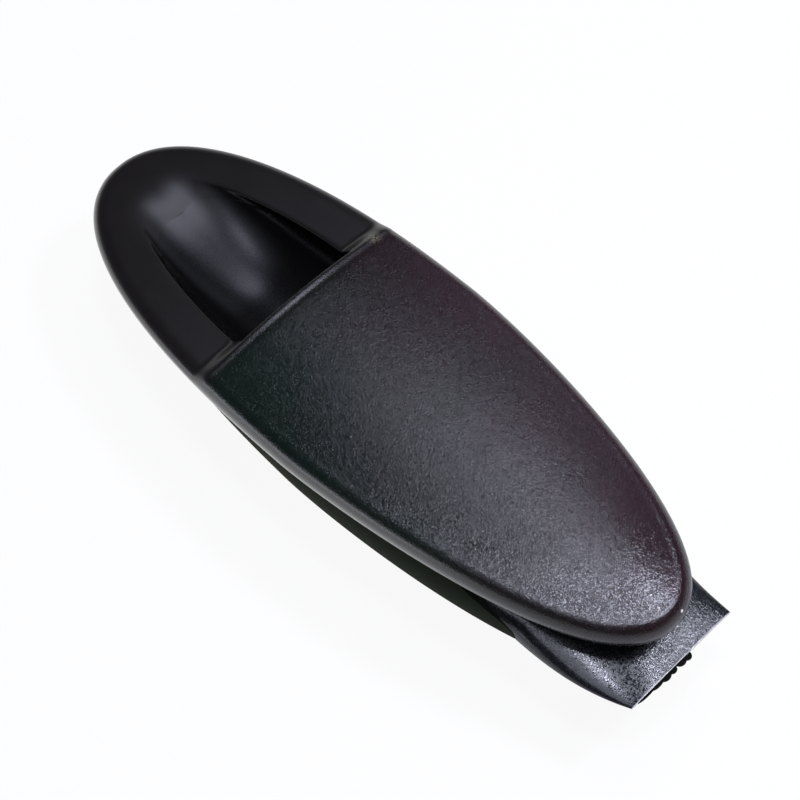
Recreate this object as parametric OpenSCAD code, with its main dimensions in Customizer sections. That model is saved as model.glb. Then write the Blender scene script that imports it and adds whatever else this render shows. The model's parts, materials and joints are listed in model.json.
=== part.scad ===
// Surface-mounted pull handle for a car door: a scooped oval grip hinged beside its neck,
// a base on the door skin, and behind the skin the bellcrank that pulls the lock rod.
// Stations (x) are counted from the scoop end; in_frame() puts the row's origin midway
// between the two fixing studs, on the door face.

/* [Grip outline] */
// Length of the grip, scoop end to paddle tip
grip_l = 200; // [194:1:206]
// Full width of the grip at its widest station
grip_w = 70.3; // [66:0.1:74]
// Station where the grip is widest
wide_x = 100; // [96:1:104]
// Outer radius of the rolled edge
edge_r = 4.5; // [4.2:0.1:4.8]
// Height of the rolled edge's centre at mid length
edge_mid_z = 12.03; // [11.5:0.01:13]
// Height of the rolled edge's centre at the tip
edge_tip_z = 13.35; // [12.8:0.05:14.5]
// Squareness of the scoop end, lengthwise and crosswise
scoop_shape = [2.37, 2.17]; // [1.8:0.01:2.6]
// Squareness of the tip end, lengthwise and crosswise
tip_shape = [1.5, 2.22]; // [1.4:0.01:2.4]

/* [Grip surface] */
// Wall of the moulded shell
shell_t = 2.2; // [1.6:0.1:2.6]
// Rise of the rim over the edge's centre
rim_rise = 3.1; // [2.8:0.1:4]
// Rise of the paddle's border over the edge's centre
paddle_rise = 4.7; // [4.4:0.1:5.4]
// Crown of the paddle above its border
paddle_crown = 3; // [2:0.1:4]
// Station of the paddle's lip
lip_x = 69.8; // [67:0.1:72]

/* [Finger pocket] */
// Station where the pocket starts in the rim
pocket_x = 10; // [9:0.5:13]
// Station of the pocket's end wall, under the paddle
pocket_end_x = 88; // [85:0.5:89]
// Half width of the pocket at the lip
pocket_half = 19.4; // [18:0.1:20]
// Height of the pocket's floor under the lip
pocket_floor_z = 1; // [0.8:0.1:3]
// Wall of the pocket liner
liner_t = 1.8; // [1.4:0.1:2]

/* [Base] */
// Wall of the base cover
base_t = 2.5; // [2:0.1:2.8]
// Running gap between the grip's edge and the base
grip_gap = 0.6; // [0.5:0.1:1]
// Thickness of the bracket plate
plate_t = 2; // [1.8:0.1:2.2]
// Thickness of the base cover's flange
flange_t = 1.8; // [1.4:0.1:2]
// Width of the base cover's flange
flange_w = 5; // [4:0.1:5.2]
// Depth of the gasket's groove
gasket_t = 1; // [0.8:0.1:1.2]
// Width of the gasket
gasket_w = 1.9; // [1.5:0.1:2]

/* [Neck] */
// Station of the neck's straight end
neck_end_x = 203.9; // [203:0.1:206]
// How late the neck narrows towards its end, on its flared -Y side
neck_flare = 2.5; // [2:0.1:3]
// How soon the neck narrows towards its end, on its straighter +Y side
neck_pull_in = 2.6; // [2:0.1:3]
// Half width of the neck where it leaves the base
neck_half = 24.4; // [23.5:0.1:25]
// Half width of the neck's straight end
neck_end_half = 18; // [16:0.1:20]
// Height of the neck under the paddle
neck_z = 8.9; // [8.5:0.1:9.2]
// Height of the neck's straight end
neck_end_z = 1.4; // [1.3:0.1:1.8]
// Wall of the neck cover
neck_t = 1.6; // [1.2:0.1:1.8]
// Wall of the neck's straight end
neck_end_t = 0.8; // [0.6:0.1:0.9]
// Two edges, across the neck, of the strip of foam in its open end
foam_y = [-16, 3]; // [-16:0.5:14]
// Length of the foam strip inside the neck
foam_l = 11; // [8:0.5:13]
// How far the foam strip stands out of the neck
foam_out = 1.3; // [0.5:0.1:1.3]
// Thickness of the foam strip inside the neck
foam_t = 1.2; // [0.8:0.1:1.3]

/* [Hinge] */
// Station of the hinge
hinge_x = 184; // [183:0.5:185]
// Height of the hinge, behind the door face
hinge_z = -4; // [-5:0.5:-4]
// Radius of the hinge pin
hinge_pin_r = 2; // [1.8:0.1:2.2]
// Inner faces of the carrier's two ears
ear_y = 9.5; // [9:0.1:10]
// Thickness of each ear
ear_t = 3; // [2.6:0.1:3]
// Radius of the ear's eye
ear_r = 5; // [4.6:0.1:5.2]
// Thickness of the bracket's lugs
lug_t = 3.2; // [2.8:0.1:3.4]
// Wall of the hinge bushes
bush_t = 1.15; // [1:0.05:1.2]
// Running clearance of each bush on its pin
bush_gap = 0.05; // [0.02:0.01:0.1]

/* [Carrier] */
// Height of the carrier plate's underside
carrier_z = 9.5; // [9.2:0.1:9.8]
// Thickness of the carrier plate
carrier_t = 2; // [1.8:0.1:2.4]
// Half width of the carrier plate
carrier_half = 16; // [15.8:0.1:17]
// Station of the carrier's front edge
carrier_x = 94; // [93:1:96]
// Station of the pull finger's back
finger_x = 150; // [149.5:0.5:151]
// Half width of the pull finger
finger_half = 5; // [4:0.1:5.4]
// Thickness of the pull finger and of its hook
finger_t = 3; // [2.6:0.1:3.2]
// Height of the hook's top face
hook_z = -16; // [-16.5:0.1:-15.5]
// Length of the hook
hook_l = 6.5; // [6:0.1:6.6]
// Wall of the hook's rubber sleeve
sleeve_t = 1; // [0.8:0.1:1.1]

/* [Bellcrank] */
// Station of the crank's pivot
crank_x = 125; // [124.5:0.5:125.5]
// Height of the crank's pivot
crank_z = -9; // [-9.5:0.1:-9]
// Radius of the crank's pin
crank_pin_r = 2; // [1.8:0.1:2.2]
// Radius of the crank's hub
hub_r = 5; // [4.8:0.1:5.2]
// Half length of the hub
hub_half = 8.9; // [8.5:0.1:8.9]
// Thickness of the crank's arms
arm_t = 5; // [4:0.1:5.2]
// Reach of the lifted arm
lift_arm = 18.5; // [18:0.1:18.8]
// Radius of the lifted arm's round end
lift_end_r = 2.5; // [2.2:0.1:2.6]
// Reach of the rod arm, down from the pivot
rod_arm = 13; // [12:0.5:15]
// Radius of the rod clip's pivot
clip_pin_r = 2.4; // [2:0.1:2.6]
// Radius of the lock rod that the clip takes
rod_r = 2; // [1.5:0.1:2.2]
// Length of the rod clip along the lock rod
clip_l = 10; // [8:0.5:12]
// Wall of the rod clip round the lock rod
clip_wall = 2; // [1.6:0.1:2.2]
// Reach of the counterweight's arm
weight_arm = 19; // [18:0.5:21]
// Radius of the counterweight
weight_r = 5.5; // [4.5:0.1:6]
// Half length of the counterweight
weight_half = 8; // [5:0.5:8]

/* [Fixings] */
// Station of the front stud
stud_front_x = 24; // [23:1:26]
// Station of the rear stud
stud_rear_x = 164; // [162:1:165]
// Radius of the studs
stud_r = 3; // [2.5:0.1:3]
// Length of the studs behind the door face
stud_l = 16; // [12:1:20]

/* [Hidden] */
$fn = 48;
touch = 0.01;
seat_gap = 0.3;
around = 56;
frame_x = (stud_front_x + stud_rear_x) / 2;

// ---------- curves of the grip ----------
function sgn(v) = v < 0 ? -1 : 1;
function mix(a, b, f) = a + (b - a) * f;
function ease(f) = let (c = max(0, min(1, f))) c * c * (3 - 2 * c);

// One point of an oval whose two ends have their own length and squareness, with its normal.
function oval(a, mid, left, right, half, shape_l, shape_r) =
    let (c = cos(a), s = sin(a),
         end = c < 0 ? left : right,
         shape = c < 0 ? shape_l : shape_r,
         u = pow(abs(c), 2 / shape[0]),
         v = pow(abs(s), 2 / shape[1]),
         nx = sgn(c) * shape[0] * pow(u, shape[0] - 1) / end,
         ny = sgn(s) * shape[1] * pow(v, shape[1] - 1) / half,
         n = norm([nx, ny]))
    [mid + sgn(c) * end * u, (abs(s) < 1e-9 ? 0 : sgn(s) * half * v), nx / n, ny / n];

edge_ring = [for (i = [0:around - 1])
    oval(360 * i / around, wide_x, wide_x - edge_r, grip_l - edge_r - wide_x,
         grip_w / 2 - edge_r, scoop_shape, tip_shape)];

// Half width of the edge's centre line at a station.
function edge_half(x) =
    let (shape = x < wide_x ? scoop_shape : tip_shape,
         end = x < wide_x ? wide_x - edge_r : grip_l - edge_r - wide_x,
         u = min(1, abs(x - wide_x) / end))
    (grip_w / 2 - edge_r) * pow(1 - pow(u, shape[0]), 1 / shape[1]);

// Height of the rolled edge's centre: a parabola through its scoop end, middle and tip.
function edge_z(x) =
    let (t = x / grip_l, mid = edge_mid_z - edge_r, tip = edge_tip_z - edge_r)
    edge_r + (4 * mid - tip) * t + (2 * tip - 4 * mid) * t * t;

// A ring beside the edge's centre line, moved out by off(x) at height z(x).
function beside(p, off, z) = [p[0] + p[2] * off, p[1] + p[3] * off, z];

// Closed solid through rings of points; each ring is symmetric about y = 0, so its ends
// are closed by strips between mirrored points.
module lofted(rings) {
    n = len(rings[0]);
    last = len(rings) - 1;
    half = floor(n / 2);
    points = [for (ring = rings, p = ring) p];
    sides = [for (j = [0:last - 1], i = [0:n - 1])
        let (k = (i + 1) % n)
        each [[j * n + i, (j + 1) * n + k, j * n + k],
              [j * n + i, (j + 1) * n + i, (j + 1) * n + k]]];
    cap = concat([[0, 1, n - 1]],
                 [for (i = [1:half - 2]) each [[i, i + 1, n - i], [i + 1, n - i - 1, n - i]]],
                 [[half - 1, half, half + 1]]);
    top = [for (f = cap) [for (k = [2, 1, 0]) last * n + f[k]]];
    polyhedron(points, concat(sides, cap, top));
}

// Keeps a boolean of lofted solids as one mesh.
module as_mesh() resize([0, 0, 0]) children();

// The grip's solid: rolled edge, border and crown. out grows it; straight carries its sides
// down below the edge's centre, as the inside of the shell needs.
module grip_form(rise, crown, out = 0, straight = false) {
    rings_in = 5;
    lip_in = 1.1;
    radius = edge_r + out;
    low = straight
        ? [for (z = [0, 1])
              [for (p = edge_ring)
                  beside(p, radius - lip_in, z * (edge_z(p[0]) - edge_r * 0.8) - (1 - z) * 6)]]
        : [[for (p = edge_ring) beside(p, radius * cos(60), edge_z(p[0]) - radius * sin(60))]];
    roll = [for (a = straight ? [0, 30, 60] : [-30, 0, 30, 60])
        [for (p = edge_ring)
            beside(p, radius * cos(a), edge_z(p[0]) + (a < 0 ? radius : rise + out) * sin(a))]];
    face = [for (k = [0:rings_in - 1])
        [for (p = edge_ring)
            let (f = 0.94 * k / (rings_in - 1),
                 spine = max(30, min(grip_l - 32, p[0])),
                 x = mix(p[0], spine, f))
            [x, p[1] * (1 - f), edge_z(x) + rise + out + crown * (1 - pow(1 - f, 2))]]];
    lofted(concat(low, roll, face));
}

module beyond(x) translate([x, -60, -20]) cube([260, 120, 80]);
module before(x) translate([x - 260, -60, -20]) cube([260, 120, 80]);

// ---------- finger pocket ----------
pocket_shape = [1.7, 2];
pocket_back_shape = [4, 4];
function pocket_edge(a, out) =
    oval(a, lip_x, lip_x - pocket_x + out, pocket_end_x - lip_x + out, pocket_half + out,
         pocket_shape, pocket_back_shape);
function pocket_bottom(x) =
    mix(edge_z(x) + rim_rise - 0.8, pocket_floor_z,
        ease((x - pocket_x) / (0.78 * (lip_x - pocket_x))));

// The hollow that the fingers enter, or with out its liner's outside; lid raises its mouth.
module pocket_form(out, lid) {
    steps = [0, 18, 36, 54, 72];
    ring_n = 40;
    function mouth(x) = edge_z(x) + rim_rise;
    lofted([for (j = [len(steps) - 1:-1:-1])
        [for (i = [0:ring_n - 1])
            let (p = pocket_edge(360 * i / ring_n, out),
                 deep = mouth(p[0]) - pocket_bottom(p[0]) + out)
            j < 0 ? [p[0], p[1], mouth(p[0]) + lid]
                  : [mix(p[0], lip_x, 0.05 * (1 - cos(steps[j]))), p[1] * cos(steps[j]),
                     mouth(p[0]) - deep * sin(steps[j]) / sin(72) - touch]]]);
}

// ---------- shared places ----------
screw_head_r = 2.6;
screw_r = 1.25;
post_r = 3.1;
carrier_screw_at = [for (x = [112, 158], y = [-13, 13]) [x, y]];
base_screw_in = 8.8;
base_screw_at = [for (x = [33, 106], side = [-1, 1]) [x, side * (base_half(x) - base_screw_in)]];
neck_screw_at = [for (side = [-1, 1]) [173, side * (neck_half - 7.4)]];
buffer_at = [for (y = [-12, 12]) [100, y]];
well_x = 38;
well_gap = 0.9;
plate_gap = 0.6;
bar_x = 172;
bar_z = 4;
bar_t = 2.5;
bush_flange = 0.5;
stud_neck = 0.8;
lug_y = ear_y + ear_t + bush_flange + seat_gap;
cheek_y = hub_half + 0.5;
cheek_t = 3;
rod_at = [crank_x - 2, crank_z - rod_arm];
guide_t = 1.5;
slot_x = [finger_x - finger_t - hook_l - 1.3 - guide_t, finger_x + 1 + guide_t];
slot_half = finger_half + 3;
rib_y = 8;
rib_t = 1.2;
rib_h = 2.5;
seam_x = 170.6;
seam_lean = 0.975;
neck_wall_slope = 1.3;

module in_xz(y0, y1) translate([0, y1, 0]) rotate([90, 0, 0]) linear_extrude(y1 - y0) children();
module along_y(x, z, y0, y1, r) translate([x, y0, z]) rotate([-90, 0, 0]) cylinder(r = r, h = y1 - y0);
module both_sides() {
    children();
    mirror([0, 1, 0]) children();
}

// ---------- grip body ----------
// The shell's posts that take the carrier's screws.
module carrier_posts()
    for (p = carrier_screw_at) translate([p[0], p[1], carrier_z + carrier_t]) difference() {
        cylinder(r = post_r, h = 30, $fn = 20);
        translate([0, 0, -1]) cylinder(r = screw_r + 0.2, h = 5.5, $fn = 16);
    }

module grip_shell() color([0.09, 0.09, 0.1]) as_mesh() difference() {
    union() {
        intersection() {
            grip_form(rim_rise, 0);
            before(lip_x);
        }
        intersection() {
            grip_form(paddle_rise, paddle_crown);
            beyond(lip_x);
        }
    }
    difference() {
        grip_form(rim_rise, 0, -shell_t, true);
        carrier_posts();
    }
    difference() {
        intersection() {
            grip_form(paddle_rise, paddle_crown, -shell_t, true);
            beyond(lip_x + shell_t);
        }
        carrier_posts();
    }
    intersection() {
        pocket_form(0, 20);
        before(lip_x);
    }
    intersection() {
        pocket_form(-0.1, 0.5);
        before(lip_x + shell_t + 1);
        beyond(lip_x - 1);
    }
}

module pocket_liner() color([0.12, 0.12, 0.13]) as_mesh() difference() {
    intersection() {
        pocket_form(liner_t, 8);
        union() {
            grip_form(rim_rise, 0, -shell_t, true);
            intersection() {
                grip_form(paddle_rise, paddle_crown, -shell_t, true);
                beyond(lip_x + shell_t);
            }
        }
    }
    pocket_form(0, 20);
}

module ear_profile() difference() {
    union() {
        translate([hinge_x, hinge_z]) circle(r = ear_r);
        polygon([[hinge_x - 28, carrier_z + carrier_t], [hinge_x - 12, carrier_z + carrier_t],
                 [hinge_x - 2.5, carrier_z - 3], [hinge_x + ear_r, hinge_z],
                 [hinge_x - ear_r * 0.8, hinge_z - ear_r * 0.6], [hinge_x - 9.5, carrier_z - 5],
                 [hinge_x - 15, carrier_z], [hinge_x - 28, carrier_z]]);
    }
    translate([hinge_x, hinge_z]) circle(r = hinge_pin_r + bush_gap + bush_t);
}

module grip_carrier() color([0.72, 0.73, 0.75]) difference() {
    union() {
        translate([carrier_x, -carrier_half, carrier_z])
            cube([hinge_x - 14 - carrier_x, 2 * carrier_half, carrier_t]);
        both_sides() in_xz(ear_y, ear_y + ear_t) ear_profile();
        translate([bar_x, -ear_y - touch, bar_z]) cube([finger_t, 2 * ear_y + 2 * touch, bar_t]);
        for (y = [-rib_y, rib_y]) translate([carrier_x + 3, y - rib_t / 2, carrier_z + carrier_t])
            cube([hinge_x - 20 - carrier_x, rib_t, rib_h]);
        for (x = [112:15.3:160]) translate([x - rib_t / 2, -rib_y, carrier_z + carrier_t])
            cube([rib_t, 2 * rib_y, rib_h]);
        in_xz(-finger_half, finger_half)
            polygon([[finger_x - finger_t, carrier_z + touch], [finger_x, carrier_z + touch],
                     [finger_x, hook_z - finger_t], [finger_x - finger_t - hook_l, hook_z - finger_t],
                     [finger_x - finger_t - hook_l, hook_z], [finger_x - finger_t, hook_z]]);
    }
    for (p = carrier_screw_at) translate([p[0], p[1], carrier_z - 1])
        cylinder(r = screw_r + 0.15, h = carrier_t + 2);
}

module carrier_screws() color([0.6, 0.6, 0.62])
    for (p = carrier_screw_at) translate([p[0], p[1], carrier_z]) screw(1.6, carrier_t + 3.5);

// A pan-headed screw that points up from its head's bearing face.
module screw(head_h, shank) rotate_extrude()
    polygon([[0, -head_h], [screw_head_r * 0.7, -head_h], [screw_head_r, -head_h / 2],
             [screw_head_r, 0], [screw_r, 0], [screw_r, shank - 0.8], [0, shank]]);

module hinge_bushes() color([0.85, 0.84, 0.78]) both_sides() {
    inner = hinge_pin_r + bush_gap;
    translate([hinge_x, ear_y, hinge_z]) rotate([-90, 0, 0]) rotate_extrude()
        polygon([[inner, 0], [inner + bush_t, 0], [inner + bush_t, ear_t],
                 [inner + bush_t + 1, ear_t], [inner + bush_t + 1, ear_t + bush_flange],
                 [inner, ear_t + bush_flange]]);
}

// The rubber sleeve round the hook, on which the crank's lifted arm lies.
module finger_sleeve() color([0.2, 0.2, 0.2])
    translate([finger_x - finger_t - hook_l, 0, hook_z - finger_t / 2]) rotate([90, 0, 90])
        difference() {
            linear_extrude(hook_l - 0.4)
                square([2 * (finger_half + sleeve_t), finger_t + 2 * sleeve_t], center = true);
            translate([0, 0, -1]) linear_extrude(hook_l + 2)
                square([2 * finger_half, finger_t], center = true);
        }

// ---------- fixed body ----------
function base_inset(x) = 1.78 - 0.0364 * (x - 110);
function base_out(x) = edge_r - base_inset(x);
function base_half(x) = edge_half(x) + base_out(x);
function base_top(x) = max(plate_t + flange_t + 0.4, edge_z(x) - edge_r * sin(60) - grip_gap);

// Outline of the base at the door face, moved in by step.
function base_outline(step) = [for (p = edge_ring)
    let (q = beside(p, base_out(p[0]) - step, 0)) [q[0], q[1]]];

module base_form(step, low, high) {
    function top_out(x) = min(base_out(x), edge_r / 3) - step;
    lofted([[for (p = edge_ring) beside(p, base_out(p[0]) - step, low)],
            [for (p = edge_ring) beside(p, base_out(p[0]) - step, max(low, 0) + 0.4)],
            [for (p = edge_ring) beside(p, top_out(p[0]), base_top(p[0]) + high)]]);
}

// Everything on the scoop side of the slanted seam between base and neck.
module scoop_side(gap) translate([seam_x - gap, 0, 0]) rotate([0, -atan(seam_lean), 0])
    translate([-400, -60, -300]) cube([400, 120, 600]);

module base_cover() color([0.07, 0.07, 0.07]) as_mesh() difference() {
    intersection() {
        scoop_side(0.1);
        union() {
            difference() {
                base_form(0, 0, 0);
                base_form(base_t, -1, 1);
            }
            difference() {
                intersection() {
                    base_form(base_t / 2, 0, 0);
                    translate([0, -60, plate_t]) cube([250, 120, flange_t]);
                }
                translate([0, 0, -1]) linear_extrude(20) polygon(base_outline(base_t + flange_w));
            }
            for (p = base_screw_at) translate([p[0], p[1], plate_t])
                cylinder(r = post_r, h = flange_t + 1.6, $fn = 20);
        }
    }
    for (p = base_screw_at) translate([p[0], p[1], -1]) cylinder(r = screw_r + 0.2, h = 9, $fn = 16);
}

module plate_profile() difference() {
    union() {
        intersection() {
            polygon(base_outline(base_t + plate_gap));
            translate([0, -50]) square([seam_x - 6, 100]);
        }
        polygon([for (side = [-1, 1], i = [0:6])
            let (x = mix(seam_x - 8, hinge_x + ear_r, (side < 0 ? i : 6 - i) / 6))
            [x, side * (neck_side(max(x, seam_x), side) - neck_t * neck_wall_slope - 0.5)]]);
    }
    intersection() {
        polygon([for (i = [0:59]) let (p = pocket_edge(6 * i, liner_t + well_gap)) [p[0], p[1]]]);
        translate([well_x, -50]) square([100, 100]);
    }
    translate([slot_x[0], -slot_half]) square([slot_x[1] - slot_x[0], 2 * slot_half]);
    translate([bar_x - 1, -lug_y]) square([hinge_x + ear_r + 2 - bar_x, 2 * lug_y]);
}

module bracket() color([0.62, 0.63, 0.65]) difference() {
    union() {
        linear_extrude(plate_t) plate_profile();
        both_sides() {
            in_xz(lug_y, lug_y + lug_t) {
                translate([hinge_x, hinge_z]) circle(r = ear_r + 0.5);
                translate([hinge_x - ear_r - 0.5, hinge_z]) square([2 * ear_r, plate_t - hinge_z - 0.4]);
            }
            in_xz(cheek_y, cheek_y + cheek_t) {
                translate([crank_x, crank_z]) circle(r = hub_r + 0.5);
                translate([crank_x - hub_r - 0.5, crank_z]) square([2 * hub_r + 1, 1 - crank_z]);
            }
        }
    }
    translate([0, 0, -1]) linear_extrude(gasket_t + 1) gasket_ring(0.05);
    along_y(hinge_x, hinge_z, -40, 40, hinge_pin_r);
    along_y(crank_x, crank_z, -40, 40, crank_pin_r);
    for (x = [stud_front_x, stud_rear_x]) translate([x, 0, -1])
        cylinder(r = stud_r + stud_neck, h = plate_t + 2);
    for (p = concat(base_screw_at, neck_screw_at)) translate([p[0], p[1], 0]) {
        translate([0, 0, -1]) cylinder(r = screw_r + 0.15, h = plate_t + 2);
        translate([0, 0, -1]) cylinder(r = screw_head_r + 0.2, h = 2.2);
    }
}

module gasket_ring(gap) {
    inside = base_t + 1;
    intersection() {
        difference() {
            polygon(base_outline(inside - gap));
            polygon(base_outline(inside + gasket_w + gap));
        }
        translate([0, -50]) square([seam_x - 10 + gap, 100]);
    }
}

module door_gasket() color([0.15, 0.15, 0.15]) linear_extrude(gasket_t) gasket_ring(0);

module base_screws() color([0.6, 0.6, 0.62])
    for (p = base_screw_at) translate([p[0], p[1], 1.2]) screw(1.1, plate_t + flange_t);

module mounting_studs() color([0.75, 0.75, 0.6])
    for (x = [stud_front_x, stud_rear_x]) translate([x, 0, 0]) rotate_extrude()
        polygon([[0, plate_t + 1.4], [stud_r + 2, plate_t + 1.4], [stud_r + 2.4, plate_t + 1],
                 [stud_r + 2.4, plate_t], [stud_r + stud_neck, plate_t], [stud_r + stud_neck, 0],
                 [stud_r, 0], [stud_r, 1 - stud_l], [stud_r - 1, -stud_l], [0, -stud_l]]);

// Half width of the neck at a station. The -Y side is flared and the +Y side runs straighter.
function neck_side(x, side) =
    let (f = max(0, min(1, (x - seam_x) / (neck_end_x - seam_x))))
    x < seam_x ? neck_half + (seam_x - x) * 0.26
    : side < 0 ? mix(neck_half, neck_end_half, pow(f, neck_flare))
    : mix(neck_end_half, neck_half, pow(1 - f, neck_pull_in));
function neck_top(x, start, t0, t1) =
    mix(t0, t1, 1 - pow(max(0, (neck_end_x - x) / (neck_end_x - start)), 0.85));

// Flared arch of the neck, lofted along its length; under keeps the hollow's share.
module neck_form(under) {
    start = seam_x - 12;
    stations = 12;
    arc = 14;
    rings = [for (s = [0:stations])
        let (x = mix(start, neck_end_x + (under ? 1 : 0), s / stations),
             t = under ? mix(neck_t, neck_end_t, s / stations) : 0,
             h = neck_top(min(x, neck_end_x), start, neck_z, neck_end_z) - t)
        [for (i = [0:arc])
            let (a = 180 * i / arc, c = cos(a), d = sin(a),
                 b = neck_side(min(x, neck_end_x), c) - t * neck_wall_slope)
            [x, (abs(c) < 1e-9 ? 0 : sgn(c) * b * pow(abs(c), 0.6)),
             i == 0 || i == arc ? (under ? -1 : 0) : h * pow(d, 0.55)]]];
    n = arc + 1;
    sides = [for (j = [0:stations - 1], i = [0:n - 1])
        let (k = (i + 1) % n)
        each [[j * n + i, (j + 1) * n + k, j * n + k], [j * n + i, (j + 1) * n + i, (j + 1) * n + k]]];
    polyhedron([for (ring = rings, p = ring) p],
               concat(sides, [[for (i = [0:n - 1]) i]], [[for (i = [n - 1:-1:0]) stations * n + i]]));
}

module neck_cover() color([0.1, 0.1, 0.11]) as_mesh() difference() {
    union() {
        difference() {
            neck_form(false);
            neck_form(true);
        }
        for (p = neck_screw_at) translate([p[0], p[1], plate_t]) cylinder(r = post_r, h = 3.4, $fn = 20);
    }
    scoop_side(-0.1);
    translate([140, -lug_y - 0.3, -1]) cube([hinge_x + 3 - 140, 2 * lug_y + 0.6, 20]);
    for (p = neck_screw_at) translate([p[0], p[1], 0]) cylinder(r = screw_r + 0.2, h = 4.8, $fn = 16);
}

module neck_foam() color([0.05, 0.05, 0.05]) in_xz(foam_y[0], foam_y[1])
    polygon([[neck_end_x - foam_l, 0], [neck_end_x + foam_out, 0],
             [neck_end_x + foam_out, neck_end_z - neck_end_t - 0.1],
             [neck_end_x, neck_end_z - neck_end_t - 0.1], [neck_end_x - foam_l, foam_t]]);

module neck_screws() color([0.6, 0.6, 0.62])
    for (p = neck_screw_at) translate([p[0], p[1], 1.2]) screw(1.1, plate_t + 1);

module hinge_pin() color([0.7, 0.7, 0.72]) pin(hinge_x, hinge_z, hinge_pin_r, lug_y + lug_t + 1.4);

// A pin with chamfered ends and a groove near each end for its clip.
module pin(x, z, r, half) translate([x, 0, z]) rotate([-90, 0, 0]) rotate_extrude()
    polygon(concat([[0, -half]], pin_end(r, -half, 1), pin_end(r, half, -1), [[0, half]]));
function pin_end(r, y, way) =
    let (end = [[r - 0.4, y], [r, y + way * 0.4], [r, y + way * 0.6],
                [r - 0.4, y + way * 0.6], [r - 0.4, y + way * 1.2], [r, y + way * 1.2]])
    way > 0 ? end : [for (i = [5:-1:0]) end[i]];

module clip(r) difference() {
    cylinder(r = r + 1.8, h = 0.6);
    translate([0, 0, -1]) cylinder(r = r - 0.4, h = 3);
    translate([0, -(r - 0.8), -1]) cube([r + 4, 2 * (r - 0.8), 3]);
}

module pin_clips(x, z, r, half) both_sides()
    translate([x, half - 0.6, z]) rotate([90, 0, 0]) clip(r);

module hinge_clips() color([0.45, 0.45, 0.47]) pin_clips(hinge_x, hinge_z, hinge_pin_r, lug_y + lug_t + 1.4);

// Wire swept along a path, its sides kept from twisting.
function unit(v) = v / norm(v);
function tangents(p) = [for (i = [0:len(p) - 1])
    unit(p[min(i + 1, len(p) - 1)] - p[max(i - 1, 0)])];
function flat_to(v, t) = unit(v - (v * t) * t);
module wire(path, r, sides = 6) {
    t = tangents(path);
    n = [for (i = 0, v = flat_to([0.3, 1, 0.1], t[0]); i < len(path);
              i = i + 1, v = i < len(path) ? flat_to(v, t[i]) : v) v];
    points = [for (i = [0:len(path) - 1], k = [0:sides - 1])
        path[i] + r * (cos(360 * k / sides) * n[i] + sin(360 * k / sides) * cross(t[i], n[i]))];
    faces = [for (i = [0:len(path) - 2], k = [0:sides - 1])
        let (m = (k + 1) % sides)
        [i * sides + k, (i + 1) * sides + k, (i + 1) * sides + m, i * sides + m]];
    polyhedron(points, concat(faces, [[for (k = [0:sides - 1]) k]],
                              [[for (k = [sides - 1:-1:0]) (len(path) - 1) * sides + k]]));
}

// Turns about the Y axis from angle a0 to a1, from y0 to y1.
function coil(x, z, r, a0, a1, y0, y1, steps) = [for (i = [0:steps])
    let (a = mix(a0, a1, i / steps)) [x + r * cos(a), mix(y0, y1, i / steps), z + r * sin(a)]];

grip_wire_r = 0.7;
grip_coil_r = 3.5;
module grip_spring() color([0.55, 0.55, 0.58]) wire(concat(
    [[hinge_x - 14, -5, -grip_wire_r - 0.1]],
    coil(hinge_x, hinge_z, grip_coil_r, 90 - touch, 90 - 360 * 5 - 50, -5, 4.6, 66),
    [[bar_x + finger_t + 2.6, 4.8, bar_z + bar_t + 1.5],
     [bar_x + finger_t + 1.2, 4.9, bar_z + bar_t + grip_wire_r + 0.7],
     [bar_x - 1, 5, bar_z + bar_t + grip_wire_r + 0.1]]), grip_wire_r);

module finger_guide() color([0.8, 0.8, 0.76]) difference() {
    union() {
        translate([slot_x[0] + 0.1, 0.1 - slot_half, 0])
            cube([slot_x[1] - slot_x[0] - 0.2, 2 * slot_half - 0.2, plate_t + 0.4]);
        translate([slot_x[0] - 1.2, -slot_half - 1.2, plate_t])
            cube([slot_x[1] - slot_x[0] + 2.4, 2 * slot_half + 2.4, 1]);
    }
    translate([slot_x[0] + guide_t, guide_t - slot_half, -2])
        cube([slot_x[1] - slot_x[0] - 2 * guide_t, 2 * slot_half - 2 * guide_t, 10]);
}

module closing_buffers() color([0.12, 0.12, 0.12])
    for (p = buffer_at) translate([p[0], p[1], plate_t]) rotate_extrude()
        polygon([[0, 0], [4.6, 0], [4.6, 1.4], [3.4, 2.2], [3.4, carrier_z - plate_t - 1.3],
                 [2.6, carrier_z - plate_t - seat_gap], [0, carrier_z - plate_t - seat_gap]]);

module crank_pin() color([0.7, 0.7, 0.72]) pin(crank_x, crank_z, crank_pin_r, cheek_y + cheek_t + 1.4);
module crank_clips() color([0.45, 0.45, 0.47])
    pin_clips(crank_x, crank_z, crank_pin_r, cheek_y + cheek_t + 1.4);

crank_wire_r = 0.45;
crank_coil_r = hub_r + crank_wire_r + 0.25;
module crank_spring() color([0.55, 0.55, 0.58]) wire(concat(
    [[crank_x - 15, 7.6, -crank_wire_r - 0.1]],
    coil(crank_x, crank_z, crank_coil_r, 90, 90 - 360 * 4, 7.6, 3.6, 64),
    [[crank_x + 9, 3.3, crank_z + crank_coil_r - 1], [crank_x + 11, 2.4, crank_z + crank_coil_r - 1.9],
     [crank_x + 11.6, -1.8, crank_z + crank_coil_r - 2.8]]), crank_wire_r);

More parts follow.
